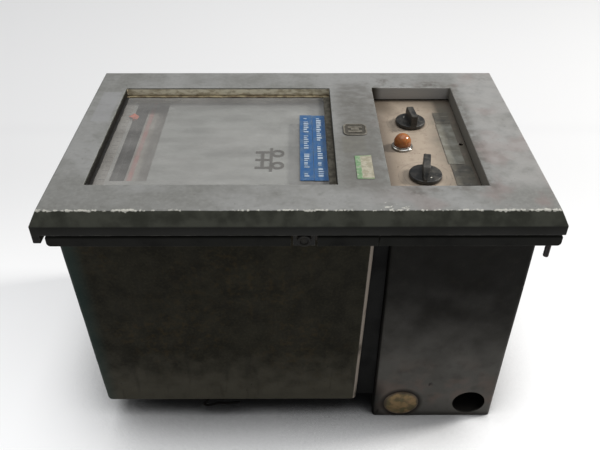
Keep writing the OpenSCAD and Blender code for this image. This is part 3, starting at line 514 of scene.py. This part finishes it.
def sticker_film():
    """Faded inspection sticker, green along one edge and dirty off-white on the rest."""
    s = Shader("sticker_film")
    low, high = corners("inspection_sticker")
    green_side = s.ramp(s.x, low.x + 3.4, low.x + 3.0)
    rubbed = s.patches(0.44, 0.6, 2.6, 4)
    green = s.mix(rubbed, (110, 142, 104), (148, 160, 136))
    white = s.mix(s.both(rubbed, 0.6), (170, 164, 146), (132, 126, 104))
    s.coat(green_side, white, green)
    rim = s.either(s.ramp(s.y, high.y - 1.2, high.y - 0.5), s.ramp(s.y, low.y + 1.6, low.y + 0.6))
    s.tint((112, 150, 104), rim, 0.5)
    band = s.within(s.maths("MODULO", s.plus(s.y, 200), 4.0), 1.2, 1.9, 0.2)
    s.tint((96, 104, 88), band, s.patches(0.42, 0.56, 1.6, 3, seed=5), 0.5)
    s.tint((60, 66, 48), s.edges(0.3), 0.6)
    return s.finish(0.38, 0.0, s.noise(2, 3), 0.05)


def putty():
    """Old glazing strip: tan at the back of the window; on its other sides olive, or dark as painted shade on
    its left.
    """
    s = Shader("putty_rubber")
    clouds = s.noise(3.5, 5)
    tan = s.mix(s.ramp(clouds, 0.38, 0.64), (142, 130, 102), (96, 82, 60))
    olive = s.mix(s.ramp(clouds, 0.38, 0.64), (94, 90, 78), (62, 57, 46))
    dark = s.mix(s.ramp(clouds, 0.38, 0.64), (30, 28, 24), (18, 17, 15))
    # Dark on the left as painted shade, olive on the right.
    s.coat(s.ramp(s.x, 0, 10), dark, olive)
    s.tint(tan, s.ramp(s.y, GLASS_HIGH.y - 6, GLASS_HIGH.y - 4.5))
    front = s.ramp(s.y, GLASS_LOW.y + 5, GLASS_LOW.y + 4)
    s.tint((150, 146, 134), front, s.ramp(s.x, GLASS_LOW.x + 6, GLASS_LOW.x + 9), 0.8)
    return s.finish(0.75, 0.0, s.noise(1.2, 4), 0.15)


def tape_plastic():
    """Blue embossing tape, glossy, scuffed and dusty."""
    s = Shader("tape_plastic")
    dust = s.patches(0.4, 0.7, 5, 5)
    s.coat(dust, (48, 88, 134), (70, 98, 128))
    s.tint((120, 146, 170), s.patches(0.6, 0.7, 1.2, 4, seed=2), 0.4)
    s.tint((132, 160, 184), s.edges(0.3), 0.5)
    return s.finish(s.ramp(dust, 0, 1, 0.28, 0.5), 0.0, s.noise(2, 3), 0.03)


def clear_glass():
    """Window glass under a film of dust, thicker along its borders."""
    s = Shader("clear_glass")
    low, high = GLASS_LOW, GLASS_HIGH
    clouds = s.ramp(s.noise(24, 5, (0.6, 1, 1)), 0.3, 0.7, 0.19, 0.3)
    wipes = s.ramp(s.noise(2.5, 4, (0.5, 1, 1), seed=2), 0.56, 0.7, 0.0, 0.05)
    border = s.either(s.ramp(s.y, low.y + 9, low.y + 3), s.ramp(s.y, high.y - 10, high.y - 4))
    film = s.plus(s.plus(clouds, wipes), s.both(border, 0.06))
    entering = s.minus(1.0, s.add("NewGeometry").outputs["Backfacing"])
    dust = s.add("BsdfDiffuse", {"Color": srgb(198, 196, 192)}).outputs[0]
    clear = s.add("BsdfTransparent", {"Color": (0.96, 0.97, 0.965, 1)}).outputs[0]
    dirty = s.add("MixShader", {0: s.both(film, entering), 1: clear, 2: dust}).outputs[0]
    shine = s.add("BsdfGlossy", {"Roughness": 0.16}).outputs[0]
    grazing = s.both(s.add("Fresnel", {"IOR": 1.45}).outputs[0], entering)
    return s.output(s.add("MixShader", {0: grazing, 1: dirty, 2: shine}))


def amber_lens():
    """Moulded amber lens, cloudy inside, darker at its foot."""
    s = Shader("amber_lens")
    clouds = s.noise(3, 4)
    s.coat(s.ramp(clouds, 0.35, 0.66), (176, 110, 58), (148, 88, 46))
    s.tint((128, 84, 52), s.patches(0.54, 0.68, 1.4, 4, seed=2), 0.4)
    foot = s.ramp(s.z, PANEL_Z + 4, PANEL_Z + 1)
    s.tint((92, 52, 26), foot, 0.7)
    return s.finish(s.ramp(clouds, 0.3, 0.7, 0.16, 0.3), 0.0, s.noise(1.5, 3), 0.03,
                    Transmission_Weight=0.12, Subsurface_Weight=0.12, Subsurface_Scale=0.002)


def tube_glass():
    """Blown glass with a silvery getter patch at the top."""
    s = Shader("tube_glass")
    top = corners("oscillator_tube")[1].z
    getter = s.ramp(s.plus(s.z, s.both(s.noise(4), 5)), top - 8, top - 4)
    s.coat(getter, (226, 236, 236), (120, 122, 126))
    return s.finish(0.06, s.both(getter, 0.9), s.noise(4, 2), 0.02,
                    Transmission_Weight=s.minus(0.95, getter))


def windings(name, base, dark, pitch):
    """Enamelled wire laid turn on turn."""
    s = Shader(name)
    turns = s.maths("SINE", s.both(s.z, 2 * math.pi / pitch))
    s.coat(s.ramp(turns, -1, 0.4), dark, base)
    s.tint(dark, s.patches(0.45, 0.7, 5, 4), 0.4)
    return s.finish(0.35, 0.5, turns, 0.12)


def weave(name, base, dark):
    """Braided cotton sleeve."""
    s = Shader(name)
    one = s.maths("SINE", s.both(s.plus(s.x, s.z), 7.0))
    other = s.maths("SINE", s.both(s.minus(s.y, s.z), 7.0))
    braid = s.either(one, other)
    s.coat(s.ramp(braid, -0.4, 0.9), dark, base)
    return s.finish(0.8, 0.0, braid, 0.15)


def make_materials():
    """Fills MATERIALS with one material for each of the record's slots."""
    for paint in (door_paint, case_paint, box_paint, panel_paint, plate_paint, sticker_film, tape_plastic,
                  clear_glass, tube_glass, amber_lens, strip_paint, badge_paint, index_paint, putty):
        paint()
    # The flange's lighter rubbed edges also paint the highlight along its top edge.
    enamel("flange_paint", (19, 19, 16), (13, 13, 11), (54, 54, 48), edge=0.8)
    enamel("black_paint", (16, 15, 13), (12, 11, 10), (42, 40, 35), dusty=0.2)
    enamel("pointer_paint", (168, 62, 44), (130, 50, 38), (190, 120, 100))
    metal("steel", (150, 148, 142), (104, 96, 84), 0.38, (1, 6, 1))
    metal("dark_steel", (70, 66, 66), (44, 38, 38), 0.5, metallic=0.7, tarnished=0.8)
    metal("chrome_ring", (206, 204, 198), (120, 108, 92), 0.16)
    metal("brass", (186, 158, 92), (116, 96, 56), 0.32, (1, 1, 6))
    metal("magnet_iron", (112, 112, 116), (70, 64, 56), 0.5, (6, 1, 1))
    metal("can_aluminium", (188, 188, 186), (140, 138, 130), 0.3, (1, 1, 8))
    windings("copper_wire", (176, 98, 58), (96, 48, 30), 0.5)
    moulded("phenolic", (92, 62, 42), (124, 92, 66), 0.4)
    moulded("black_plastic", (40, 39, 38), (84, 80, 74), 0.42)
    moulded("knob_plastic", (34, 34, 33), (84, 80, 72), 0.4, 0.03, 0.6)
    moulded("seal_rubber", (34, 33, 30), (66, 62, 56), 0.7, 0.06, 0.3)
    weave("loom_sleeve", (92, 88, 76), (44, 42, 36))


make_materials()


# ---- mesh building ----

def finish_mesh(bm, sharp_angle):
    """Smooth faces, with sharp edges kept where the surface turns by more than sharp_angle degrees."""
    bmesh.ops.recalc_face_normals(bm, faces=bm.faces)
    limit = math.radians(sharp_angle)
    for edge in bm.edges:
        edge.smooth = len(edge.link_faces) == 2 and edge.calc_face_angle(0.0) < limit
    for face in bm.faces:
        face.smooth = True


def into_mesh(name, bm):
    mesh = bpy.data.meshes.new(name)
    bm.to_mesh(mesh)
    bm.free()
    return mesh


def into_scene(name, data):
    made = bpy.data.objects.new(name, data)
    bpy.context.scene.collection.objects.link(made)
    return made


def piece(name, bm, node, replaced=True, material=None, sharp_angle=38):
    """Turns a mesh built in millimetres into a piece that rides with node's body."""
    finish_mesh(bm, sharp_angle)
    bmesh.ops.scale(bm, vec=(MM, MM, MM), verts=bm.verts)
    mesh = into_mesh(name, bm)
    mesh.materials.append(material or MATERIALS[SLOT_OF[node]])
    made = into_scene(name, mesh)
    even = made.modifiers.new("even normals", "WEIGHTED_NORMAL")
    even.keep_sharp = True
    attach(made, BODY_OF[node])
    if replaced:
        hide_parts(node)


def cut_into_strips(bm, axis, step):
    """Slices a mesh across one axis every step millimetres, so that its flat faces can be bent."""
    places = [v.co[axis] for v in bm.verts]
    count = max(1, round((max(places) - min(places)) / step))
    normal = Vector([float(i == axis) for i in range(3)])
    for i in range(1, count):
        at = normal * (min(places) + (max(places) - min(places)) * i / count)
        everything = bm.verts[:] + bm.edges[:] + bm.faces[:]
        bmesh.ops.bisect_plane(bm, geom=everything, plane_co=at, plane_no=normal, dist=1e-4)


def recast(name, node, soft=0.3, steps=(0, 0, 0), shift=None, segments=2, **options):
    """A CAD node's shape with softened edges, and with its faces bent by shift, a function of a point."""
    bm = bmesh.new()
    bm.from_mesh(frame["nodes"][node].data)
    bmesh.ops.scale(bm, vec=(1 / MM,) * 3, verts=bm.verts)
    bmesh.ops.remove_doubles(bm, verts=bm.verts, dist=2e-3)
    bmesh.ops.dissolve_limit(bm, angle_limit=math.radians(0.8), verts=bm.verts, edges=bm.edges)
    limit = math.radians(32)
    sharp = [e for e in bm.edges if len(e.link_faces) == 2 and e.calc_face_angle(0.0) > limit]
    if soft:
        bmesh.ops.bevel(bm, geom=sharp, offset=soft, segments=segments, profile=0.5, affect="EDGES",
                        clamp_overlap=False)
    for axis, step in enumerate(steps):
        if step:
            cut_into_strips(bm, axis, step)
    if shift:
        for vert in bm.verts:
            vert.co += shift(vert.co)
    piece(name, bm, node, **options)


def join_rings(bm, rings, wrap=False):
    """Faces between neighbouring rings of vertices; a ring of one vertex is a point on the axis."""
    pairs = list(zip(rings, rings[1:])) + ([(rings[-1], rings[0])] if wrap else [])
    for lower, upper in pairs:
        count = max(len(lower), len(upper))
        for i in range(count):
            j = (i + 1) % count
            ends = [ring[k % len(ring)] for ring, k in ((lower, i), (lower, j), (upper, j), (upper, i))]
            unique = list(dict.fromkeys(ends))
            if len(unique) > 2:
                bm.faces.new(unique)


def lathe(bm, profile, turns=48, ripple=None, wrap=False):
    """Surface of revolution about Z through (radius, height) points; wrap closes a profile off the axis."""
    rings = []
    for radius, height in profile:
        ring = []
        for i in range(turns if radius else 1):
            angle = 2 * math.pi * i / turns
            r = radius + (ripple(angle, radius, height) if ripple and radius else 0)
            ring.append(bm.verts.new((r * math.cos(angle), r * math.sin(angle), height)))
        rings.append(ring)
    join_rings(bm, rings, wrap)
    return [v for ring in rings for v in ring]


def arc(centre, radius, start, end, count):
    """Points on a circle from start to end degrees."""
    steps = [math.radians(start + (end - start) * i / count) for i in range(count + 1)]
    return [(centre[0] + radius * math.cos(a), centre[1] + radius * math.sin(a)) for a in steps]


def bar(bm, low, high, soft):
    """Box between two corners, with softened edges."""
    size = Vector(high) - Vector(low)
    made = bmesh.ops.create_cube(bm, size=1.0)["verts"]
    bmesh.ops.scale(bm, vec=size, verts=made)
    bmesh.ops.translate(bm, vec=(Vector(low) + Vector(high)) / 2, verts=made)
    around = list({e for v in made for e in v.link_edges})
    bmesh.ops.bevel(bm, geom=around, offset=soft, segments=2, profile=0.5, affect="EDGES")


def loft(bm, sections):
    """Closed skin through equal-sized sections of points."""
    rings = [[bm.verts.new(p) for p in section] for section in sections]
    join_rings(bm, rings)
    bm.faces.new(rings[0])
    bm.faces.new(rings[-1])


def tube(bm, path, radius, sides=10, steps=6):
    """Round wire along a smooth curve through the path's points."""
    points = [Vector(p) for p in path]
    points = [2 * points[0] - points[1]] + points + [2 * points[-1] - points[-2]]
    line = []
    for a, b, c, d in zip(points, points[1:], points[2:], points[3:]):
        for i in range(steps):
            t = i / steps
            line.append(0.5 * (2 * b + (c - a) * t + (2 * a - 5 * b + 4 * c - d) * t ** 2
                               + (3 * b - a - 3 * c + d) * t ** 3))
    line.append(points[-2])
    sections = []
    side = (line[1] - line[0]).orthogonal().normalized()
    for i, at in enumerate(line):
        ahead = (line[min(i + 1, len(line) - 1)] - line[max(i - 1, 0)]).normalized()
        side = (side - ahead * side.dot(ahead)).normalized()
        up = ahead.cross(side)
        ring = [at + radius * (side * math.cos(a) + up * math.sin(a))
                for a in (2 * math.pi * k / sides for k in range(sides))]
        sections.append(ring)
    loft(bm, sections)


def put(bm, at, turn=0.0, lay=0.0):
    """Moves everything in the mesh: lays its Z axis over about X, turns it about Z, then places it."""
    spin = Matrix.Rotation(math.radians(turn), 4, "Z") @ Matrix.Rotation(math.radians(lay), 4, "X")
    bmesh.ops.transform(bm, matrix=Matrix.Translation(at) @ spin, verts=bm.verts)


def ripple_of(size, seed=0.0):
    """A repeatable lumpy field from -1 to 1 over points."""
    return lambda p: noise.noise(Vector(p) / size + Vector((seed, seed * 1.7, seed * 0.3)))


# ---- the door ----

def build_door():
    """Door casting, slightly uneven and worn away along its front edge."""
    broad, fine = ripple_of(40, 1), ripple_of(3.5, 2)

    def shift(p):
        move = Vector((0, 0, 0))
        if p.z > FACE_Z - 1.2:
            move.z += 0.1 * broad(p) - 0.08
        near_edge = max(0.0, 1 - (Vector((p.y, p.z)) - Vector((FRONT_EDGE_Y, FACE_Z))).length / 1.5)
        worn = near_edge * (0.1 + 0.8 * max(0.0, fine(p)))
        return move + Vector((0, worn * 0.45, -worn * 0.55))

    recast("door_casting", "door_frame", 0.55, (2.4, 14, 0), shift, segments=3)


def build_window():
    """Glazing strip, and the label tape with plain raised bars for its lettering."""
    rough = ripple_of(5, 4)
    recast("glazing_strip", "glass_gasket", 0.2, (3, 3, 0),
           lambda p: Vector((0, 0, 0.25 * rough(p))) + Vector((0.5, 0.4, 0)) * rough(p + Vector((40, 0, 0))))
    tape_low, tape_high = corners("label_tape")
    lift = ripple_of(22, 6)

    def curl(p):
        to_end = max(0.0, abs(p.y - (tape_low.y + tape_high.y) / 2) - 34) / 6
        return Vector((0, 0, 0.12 * to_end ** 2 + 0.08 * (1 + lift(p))))

    recast("label_tape_strips", "label_tape", 0.12, (0, 3, 0), curl)
    marks = bmesh.new()
    half = (tape_high.x - tape_low.x) / 2
    top = tape_high.z + 0.15
    for row in range(2):
        x0 = tape_low.x + half * row + 2.5
        y = tape_low.y + 4
        while y < tape_high.y - 4:
            wide = CHANCE.choice((1.0, 1.5, 2.0))
            if CHANCE.random() > 0.16:
                length = CHANCE.choice((2.2, 2.9, 3.2))
                rise = curl(Vector((x0, y, top))).z
                bar(marks, (x0, y, top + rise - 0.3), (x0 + length, y + wide, top + rise + 0.12), 0.08)
            y += wide + CHANCE.choice((0.9, 1.3))
    pressed = moulded("tape_relief", (164, 176, 188), (116, 138, 160), 0.5)
    piece("label_tape_marks", marks, "label_tape", replaced=False, material=pressed)


def build_badge():
    """Round-cornered badge with a raised rim and three plain bars, and the inspection sticker."""
    low, high = corners("door_nameplate")
    centre = (low + high) / 2
    bm = bmesh.new()
    half_x, half_y, corner = (high.x - low.x) / 2, (high.y - low.y) / 2, 3.2

    def outline(inset, z):
        ring = []
        for sx, sy, start in ((1, 1, 0), (-1, 1, 90), (-1, -1, 180), (1, -1, 270)):
            bend = corner - inset
            at = (centre.x + sx * (half_x - corner), centre.y + sy * (half_y - corner))
            ring += [(x, y, z) for x, y in arc(at, bend, start, start + 90, 8)]
        return ring

    base, top = FACE_Z - 0.15, high.z
    loft(bm, [outline(0, base), outline(0, top - 0.25), outline(0.25, top), outline(0.8, top),
              outline(1.0, top - 0.35)])
    for half, y0, y1, rise in ((4.4, -3.6, -1.6, 0), (4.4, 1.8, 3.4, 0), (2.6, -1.0, 1.2, 0.1)):
        bar(bm, (centre.x - half, centre.y + y0, base), (centre.x + half, centre.y + y1, top + rise), 0.15)
    piece("door_badge", bm, "door_nameplate")

    low, high = corners("inspection_sticker")
    crease = ripple_of(6, 9)

    def curl(p):
        corner_lift = max(0.0, (p.x - high.x + 4) / 4) * max(0.0, (p.y - high.y + 5) / 5)
        return Vector((0, 0, 0.5 * corner_lift + 0.06 * (1 + crease(p))))

    recast("inspection_label", "inspection_sticker", 0, (1.4, 1.8, 0), curl, sharp_angle=60)


# ---- the scale ----

def build_scale():
    """Scale plate, its ticks and plain dial numbers, the emblem, and both pointers."""
    low, high = corners("scale_strip")
    wave = ripple_of(30, 3)
    recast("scale_face", "scale_plate", 0.15, (6, 6, 0), lambda p: Vector((0, 0, 0.05 * wave(p) - 0.05)))
    ticks = bmesh.new()
    top = high.z
    first, last, count = low.y + 13, high.y - 2, 20
    places = [first + (last - first) * i / count for i in range(count + 1)]
    for i, y in enumerate(places):
        long = 3.6 if i % 2 == 0 else 2.0
        bar(ticks, (high.x - 0.6 - long, y - 0.22, top - 0.1), (high.x - 0.6, y + 0.22, top + 0.08), 0.03)
    ink = moulded("scale_ink", (58, 54, 50), (104, 98, 90), 0.6)
    piece("scale_ticks", ticks, "scale_strip", replaced=False, material=ink)
    for i in range(0, count + 1, 4):
        text = bpy.data.curves.new(f"scale_number_{i}", "FONT")
        text.body = str(i // 2)
        text.size = 3.4 * MM
        text.align_x, text.align_y = "CENTER", "CENTER"
        text.extrude = 0.06 * MM
        number = into_scene(f"scale_number_{i}", text)
        number.location = Vector((low.x + 2.1, places[i], top + 0.05)) * MM
        number.rotation_euler = (0, 0, math.pi / 2)
        text.materials.append(ink)
        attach(number, BODY_OF["scale_strip"])

    low, high = corners("plate_badge")
    emblem = bmesh.new()
    base, top = PLATE_Z, PLATE_Z + 0.5
    left, right = low.x, low.x + 9
    for y in (low.y + 6, low.y + 15, low.y + 24):
        bar(emblem, (left, y, base - 0.1), (right, y + 2, top), 0.15)
    bar(emblem, (left + 3.5, low.y + 6, base - 0.1), (left + 5.5, low.y + 26, top), 0.15)
    bar(emblem, (right, low.y + 3, base - 0.1), (right + 1.8, high.y - 3, top), 0.15)
    for k in (-1, 1):
        ring = bmesh.new()
        lathe(ring, [(2.4, -0.1), (4.0, -0.1), (4.0, 0.5), (2.4, 0.5)], 32, wrap=True)
        put(ring, (right + 5, (low.y + high.y) / 2 + 7 * k, base))
        mesh = into_mesh("ring", ring)
        emblem.from_mesh(mesh)
        bpy.data.meshes.remove(mesh)
    faded = enamel("emblem_paint", (36, 30, 20), (24, 20, 14), (58, 52, 40), rough=0.55)
    piece("plate_emblem", emblem, "plate_badge", material=faded)
    recast("set_index_flag", "set_pointer", 0.15)
    recast("needle", "pointer_arm", 0.1)


# ---- the control panel ----

def knob(name, node, turn):
    """Moulded pointer knob: a dished skirt under a blade that slopes down to its pointing end."""
    low, high = corners(node)
    centre = (low + high) / 2
    radius = (high.x - low.x) / 2 + 0.05
    skirt, top = 2.5, high.z - low.z
    bm = bmesh.new()
    rim = arc((radius - 0.5, 0.5), 0.5, -90, 0, 3) + arc((radius - 0.7, skirt - 0.8), 0.7, 0, 80, 4)
    lathe(bm, [(0, 0)] + rim + [(radius - 2.2, skirt - 0.25), (5, skirt - 0.35), (0, skirt - 0.35)], 64)
    bend, sections = 0.5, []
    for u, crest, half in (
            (-radius + 0.25, top - 0.5, 1.9), (-radius + 0.7, top, 2.2), (-2, top, 2.15),
            (0.42 * radius, top, 2.2), (0.55 * radius, top - 0.9, 2.05), (0.9 * radius, 4.3, 1.25),
            (radius - 0.3, 3.5, 0.95)):
        shoulder = arc((half - bend, crest - bend), bend, 0, 90, 4)
        right = [(u, half, skirt - 0.7)] + [(u, v, z) for v, z in shoulder]
        sections.append(right + [(p[0], -p[1], p[2]) for p in reversed(right)])
    loft(bm, sections)
    put(bm, (centre.x, centre.y, low.z), turn)
    piece(name, bm, node)
    pip = bmesh.new()
    lathe(pip, [(0, 0.16), (0.45, 0.14), (0.6, 0.0), (0, 0.0)], 20)
    aside = Matrix.Rotation(math.radians(turn), 3, "Z") @ Vector((0.45 * radius, 3.4, 0))
    put(pip, Vector((centre.x, centre.y, low.z + skirt - 0.32)) + aside)
    white = moulded("dot_enamel", (206, 202, 190), (168, 160, 142), 0.5)
    piece(name + "_dot", pip, node, replaced=False, material=white)


def build_lamp():
    """Hollow fluted lens with a domed top, in its plated ring."""
    radius, bore, straight = 5.3, 3.9, 4.0
    foot = (LAMP.x, LAMP.y, PANEL_Z)
    bm = bmesh.new()
    outer = arc((0, straight), radius, 90, 0, 14) + [(radius, 0.2)]
    inner = [(bore, 0.2)] + arc((0, straight), bore, 0, 90, 8)
    outer[0], inner[-1] = (0, straight + radius), (0, straight + bore)
    lathe(bm, outer + inner, 96, lambda a, r, z: 0.09 * math.cos(24 * a) if r > radius - 0.4 else 0.0)
    put(bm, foot)
    piece("amber_cap", bm, "lamp_lens")
    ring = bmesh.new()
    section = arc((5.9, 0.4), 0.95, -25, 90, 6) + [(5.7, 2.0), (5.42, 2.1), (5.42, 0.02), (6.8, 0.02)]
    lathe(ring, section, 72, lambda a, r, z: 0.05 * math.cos(36 * a) if r > 6.5 else 0.0, wrap=True)
    put(ring, foot)
    piece("lamp_ring", ring, "lamp_bezel")


def build_controls():
    wave = ripple_of(18, 5)
    recast("panel_face", "control_panel", 0.25, (4, 6, 0), lambda p: Vector((0, 0, 0.08 * wave(p) - 0.08)))
    recast("legend_strips", "legend_plates", 0.08, material=legend_paint())
    knob("selector_grip", "selector_knob", 96)
    knob("trimmer_grip", "trimmer_knob", -100)
    build_lamp()


# ---- the case ----

def build_case():
    """Case, terminal box, flange, duct and rear cover, with shallow dents in their sheets."""
    dent, small = ripple_of(55, 11), ripple_of(14, 12)

    def bowed(low, high):
        def shift(p):
            rim = min(1.0, max(0.0, (high.z - 6 - p.z) / 25))
            foot = min(1.0, max(0.0, (p.z - low.z - 4) / 12))
            depth = rim * foot * (0.55 * dent(p) + 0.12 * small(p))
            out = Vector((0, 0, 0))
            if min(p.y - low.y, high.y - p.y) < 4:
                out.y = depth
            if min(p.x - low.x, high.x - p.x) < 4:
                out.x = depth * 0.8
            return out
        return shift

    recast("case_shell", "main_case", 0.0, (9, 12, 9), bowed(CASE_LOW, CASE_HIGH), sharp_angle=30)
    recast("box_shell", "terminal_box", 0.4, (8, 12, 9), bowed(BOX_LOW, BOX_HIGH))
    ripple = ripple_of(25, 13)
    lip_y = corners("mounting_flange")[1].y - 2

    def waver(p):
        return Vector((0, 0.18 * ripple(p) if abs(p.y) > lip_y else 0, 0))

    recast("flange_pressing", "mounting_flange", 0.35, (6, 0, 0), waver)
    # Near-black paint on the duct, standing in for the deep shade in the gap between case and box.
    duct_shade_black = enamel("duct_painted_shade", (7, 7, 6), (4, 4, 4), (20, 20, 17))
    recast("duct", "case_web", 0.5, material=duct_shade_black)
    recast("terminal_cover", "rear_cover", 0.5)


def build_plug():
    """Pressed knockout plug, slightly dished and dented."""
    bm = bmesh.new()
    face = [(0, 1.1), (2, 1.1), (4, 1.15), (6, 1.2), (8, 1.15), (9.6, 1.0), (10.6, 0.75), (11.5, 0.45),
            (11.9, 0.1)]
    back = [(11.9, 0.02), (11.0, 0.02), (11.0, -2.6), (10.4, -2.6), (10.4, -0.6), (0, -0.6)]
    verts = lathe(bm, face + back, 56)
    dent = ripple_of(5, 14)
    for vert in verts:
        if vert.co.z > 0.5:
            vert.co.z += 0.28 * dent(vert.co) - 0.1
    put(bm, (PLUG.x, BOX_LOW.y, PLUG.z), 0, 90)
    piece("plug_cap", bm, "knockout_plug", material=plug_brass())


def build_studs():
    """Threaded studs, with their collars, and the cut bonding wire."""
    low, high = corners("panel_studs")
    radius, pitch, groove, collar, sides = 1.7, 0.7, 0.3, 1.95, 20
    neck = high.z - 8
    bm = bmesh.new()

    def ring(y, z, reach):
        turns = ((reach(k), 2 * math.pi * k / sides) for k in range(sides))
        return [bm.verts.new((low.x + collar + r * math.cos(a), y + r * math.sin(a), z)) for r, a in turns]

    for y in (low.y + collar, high.y - collar):
        rings = []
        for i in range(int((neck - low.z) / pitch * 4) + 1):
            tip = 0.35 if i == 0 else 0
            rings.append(ring(y, low.z + pitch * i / 4,
                              lambda k: radius - tip - abs((i / 4 - k / sides) % 1 - 0.5) * 2 * groove))
        for z, reach in ((neck, radius), (neck + 0.2, collar), (high.z, collar)):
            rings.append(ring(y, z, lambda k: reach))
        join_rings(bm, rings)
        bm.faces.new(rings[0])
        bm.faces.new(rings[-1])
    piece("threaded_studs", bm, "panel_studs")

    low, high = corners("earth_wire")
    y = low.y + 0.9
    path = ((-58, high.y - 1, 12), (-59, y + 14, 13.6), (-63, y + 3, 14.4), (-66, y + 0.4, 13.2),
            (-63.5, y, 12), (-60, y, 12.6), (-55, y, 14.2), (-50, y + 0.2, 13.6), (-45, y, 14.6),
            (-41, y, 15.2))
    wire = bmesh.new()
    tube(wire, path, 0.75)
    for k in range(3):
        sway = Vector((CHANCE.uniform(0.5, 1.5), CHANCE.uniform(-0.2, 0.2), CHANCE.uniform(-0.6, 0.6)))
        start = Vector(path[-1])
        tube(wire, (start - Vector((1, 0, 0)), start + sway * 0.4, start + sway), 0.22, 6)
    sooty = moulded("wire_black", (14, 13, 12), (26, 24, 22), 0.8, Specular_IOR_Level=0.05)
    piece("bonding_wire", wire, "earth_wire", material=sooty)


def build_latch():
    """Push button of the latch, turned with a raised rim round a sunken middle."""
    low, high = corners("latch_button")
    at = (middle("latch_button").x, low.y + 1.0, (low.z + high.z) / 2)
    radius, depth = (high.x - low.x) / 2, high.y - low.y - 1.0
    bm = bmesh.new()
    face = [(0, 0.45), (1.6, 0.42), (2.3, 0.3), (2.6, 0.85)]
    rim = arc((radius - 0.55, 0.45), 0.55, 100, 0, 6)
    stem = [(radius, -1.0), (2.0, -1.0), (2.0, -depth), (0, -depth)]
    lathe(bm, face + rim + stem, 48, lambda a, r, z: 0.05 * math.cos(20 * a) if r > radius - 0.1 else 0.0)
    put(bm, at, 0, 90)
    black = moulded("latch_black", (24, 23, 21), (48, 46, 42), 0.6, Specular_IOR_Level=0.12)
    piece("latch_head", bm, "latch_button", material=black)


def build_hardware():
    recast("plate_and_panel_screws", "face_screws", 0.08)
    recast("rear_cover_screws", "cover_screws", 0.15)
    recast("hinge_leaves_on_case", "case_hinge_leaves", 0.2)
    recast("hinge_leaves_on_door", "door_hinge_leaves", 0.2)
    recast("lid_seal", "case_gasket", 0.3)


def dress_remaining_nodes():
    """Materials for the CAD nodes that stay, with their hard edges softened by modifiers."""
    for name, node in frame["nodes"].items():
        # Dark steel for the latch cam, guide rail and set screw; in the scale slot it also stands in for the
        # slot's deep shade.
        slot = "dark_steel" if name in ("latch_cam", "guide_rail", "set_screw") else SLOT_OF[name]
        node.data.materials.clear()
        node.data.materials.append(MATERIALS[slot])
        if node.hide_render or name in ("window_glass", "oscillator_tube"):
            continue
        weld = node.modifiers.new("weld", "WELD")
        weld.merge_threshold = 2e-6
        flat = node.modifiers.new("flat faces", "DECIMATE")
        flat.decimate_type = "DISSOLVE"
        flat.angle_limit = math.radians(0.8)
        soft = node.modifiers.new("soft edges", "BEVEL")
        soft.width = 0.2 * MM
        soft.segments = 2
        soft.angle_limit = math.radians(35)


# ---- the studio ----

def build_stage():
    """Pale floor with painted shadow and glow, soft lights and the camera."""
    bm = bmesh.new()
    bmesh.ops.create_grid(bm, x_segments=1, y_segments=1, size=6.0)
    floor = into_scene("floor", into_mesh("floor", bm))
    s = Shader("floor_paper")
    crease = s.within(s.y, 318, 342, 14)
    s.coat(s.both(crease, 0.12), (190, 190, 190), (170, 170, 172))
    open_air = s.openness(70, samples=6)
    # Painted contact shadow: the floor darkens close to the object.
    s.tint((66, 66, 66), s.ramp(open_air, 0.66, 0.3))
    # The floor glows, brighter towards the front and left and dimmer close to the object, as painted light
    # and shadow.
    glow = s.both(s.ramp(open_air, 0.5, 0.98), s.ramp(s.y, 260, -220, 0.3, 0.76),
                  s.ramp(s.x, -100, 400, 1.0, 0.8))
    floor.data.materials.append(s.finish(0.7, 0.0, s.noise(3, 2), 0.02,
                                         Emission_Color=(1, 1, 1, 1), Emission_Strength=glow))

    world = bpy.data.worlds.new("studio")
    bpy.context.scene.world = world
    world.use_nodes = True
    sky = world.node_tree.nodes["Background"]
    sky.inputs["Color"].default_value = (0.93, 0.96, 1.0, 1)
    sky.inputs["Strength"].default_value = 0.2

    lamps = (
        ("window_right", (1.3, 0.25, 1.15), 25, 0.24, (1.0, 0.98, 0.95)),
        ("overhead", (0.0, 0.2, 1.9), 23, 2.2, (0.97, 0.98, 1.0)),
    )
    for name, place, power, size, tint in lamps:
        light = bpy.data.lights.new(name, "AREA")
        light.energy = power
        light.size = size
        light.color = tint
        made = into_scene(name, light)
        made.location = place
        made.rotation_euler = (Vector((0, 0, 0.15)) - Vector(place)).to_track_quat("-Z", "Y").to_euler()

    data = bpy.data.cameras.new("camera")
    data.lens, data.sensor_width = CAMERA_LENS, CAMERA_SENSOR
    camera = into_scene("camera", data)
    pitch, yaw, roll = (math.radians(a) for a in CAMERA_TURN)
    ahead = Vector((math.sin(yaw) * math.cos(pitch), math.cos(yaw) * math.cos(pitch), -math.sin(pitch)))
    level = Vector((math.cos(yaw), -math.sin(yaw), 0))
    right = level * math.cos(roll) + level.cross(ahead) * math.sin(roll)
    upward = right.cross(ahead)
    turn = Matrix((right, upward, -ahead)).transposed().to_4x4()
    camera.matrix_world = Matrix.Translation(CAMERA_PLACE) @ turn
    bpy.context.scene.camera = camera
    bpy.context.scene.view_settings.view_transform = "Standard"


build_door()
build_window()
build_badge()
build_scale()
build_controls()
build_case()
build_plug()
build_studs()
build_latch()
build_hardware()
dress_remaining_nodes()
build_stage()
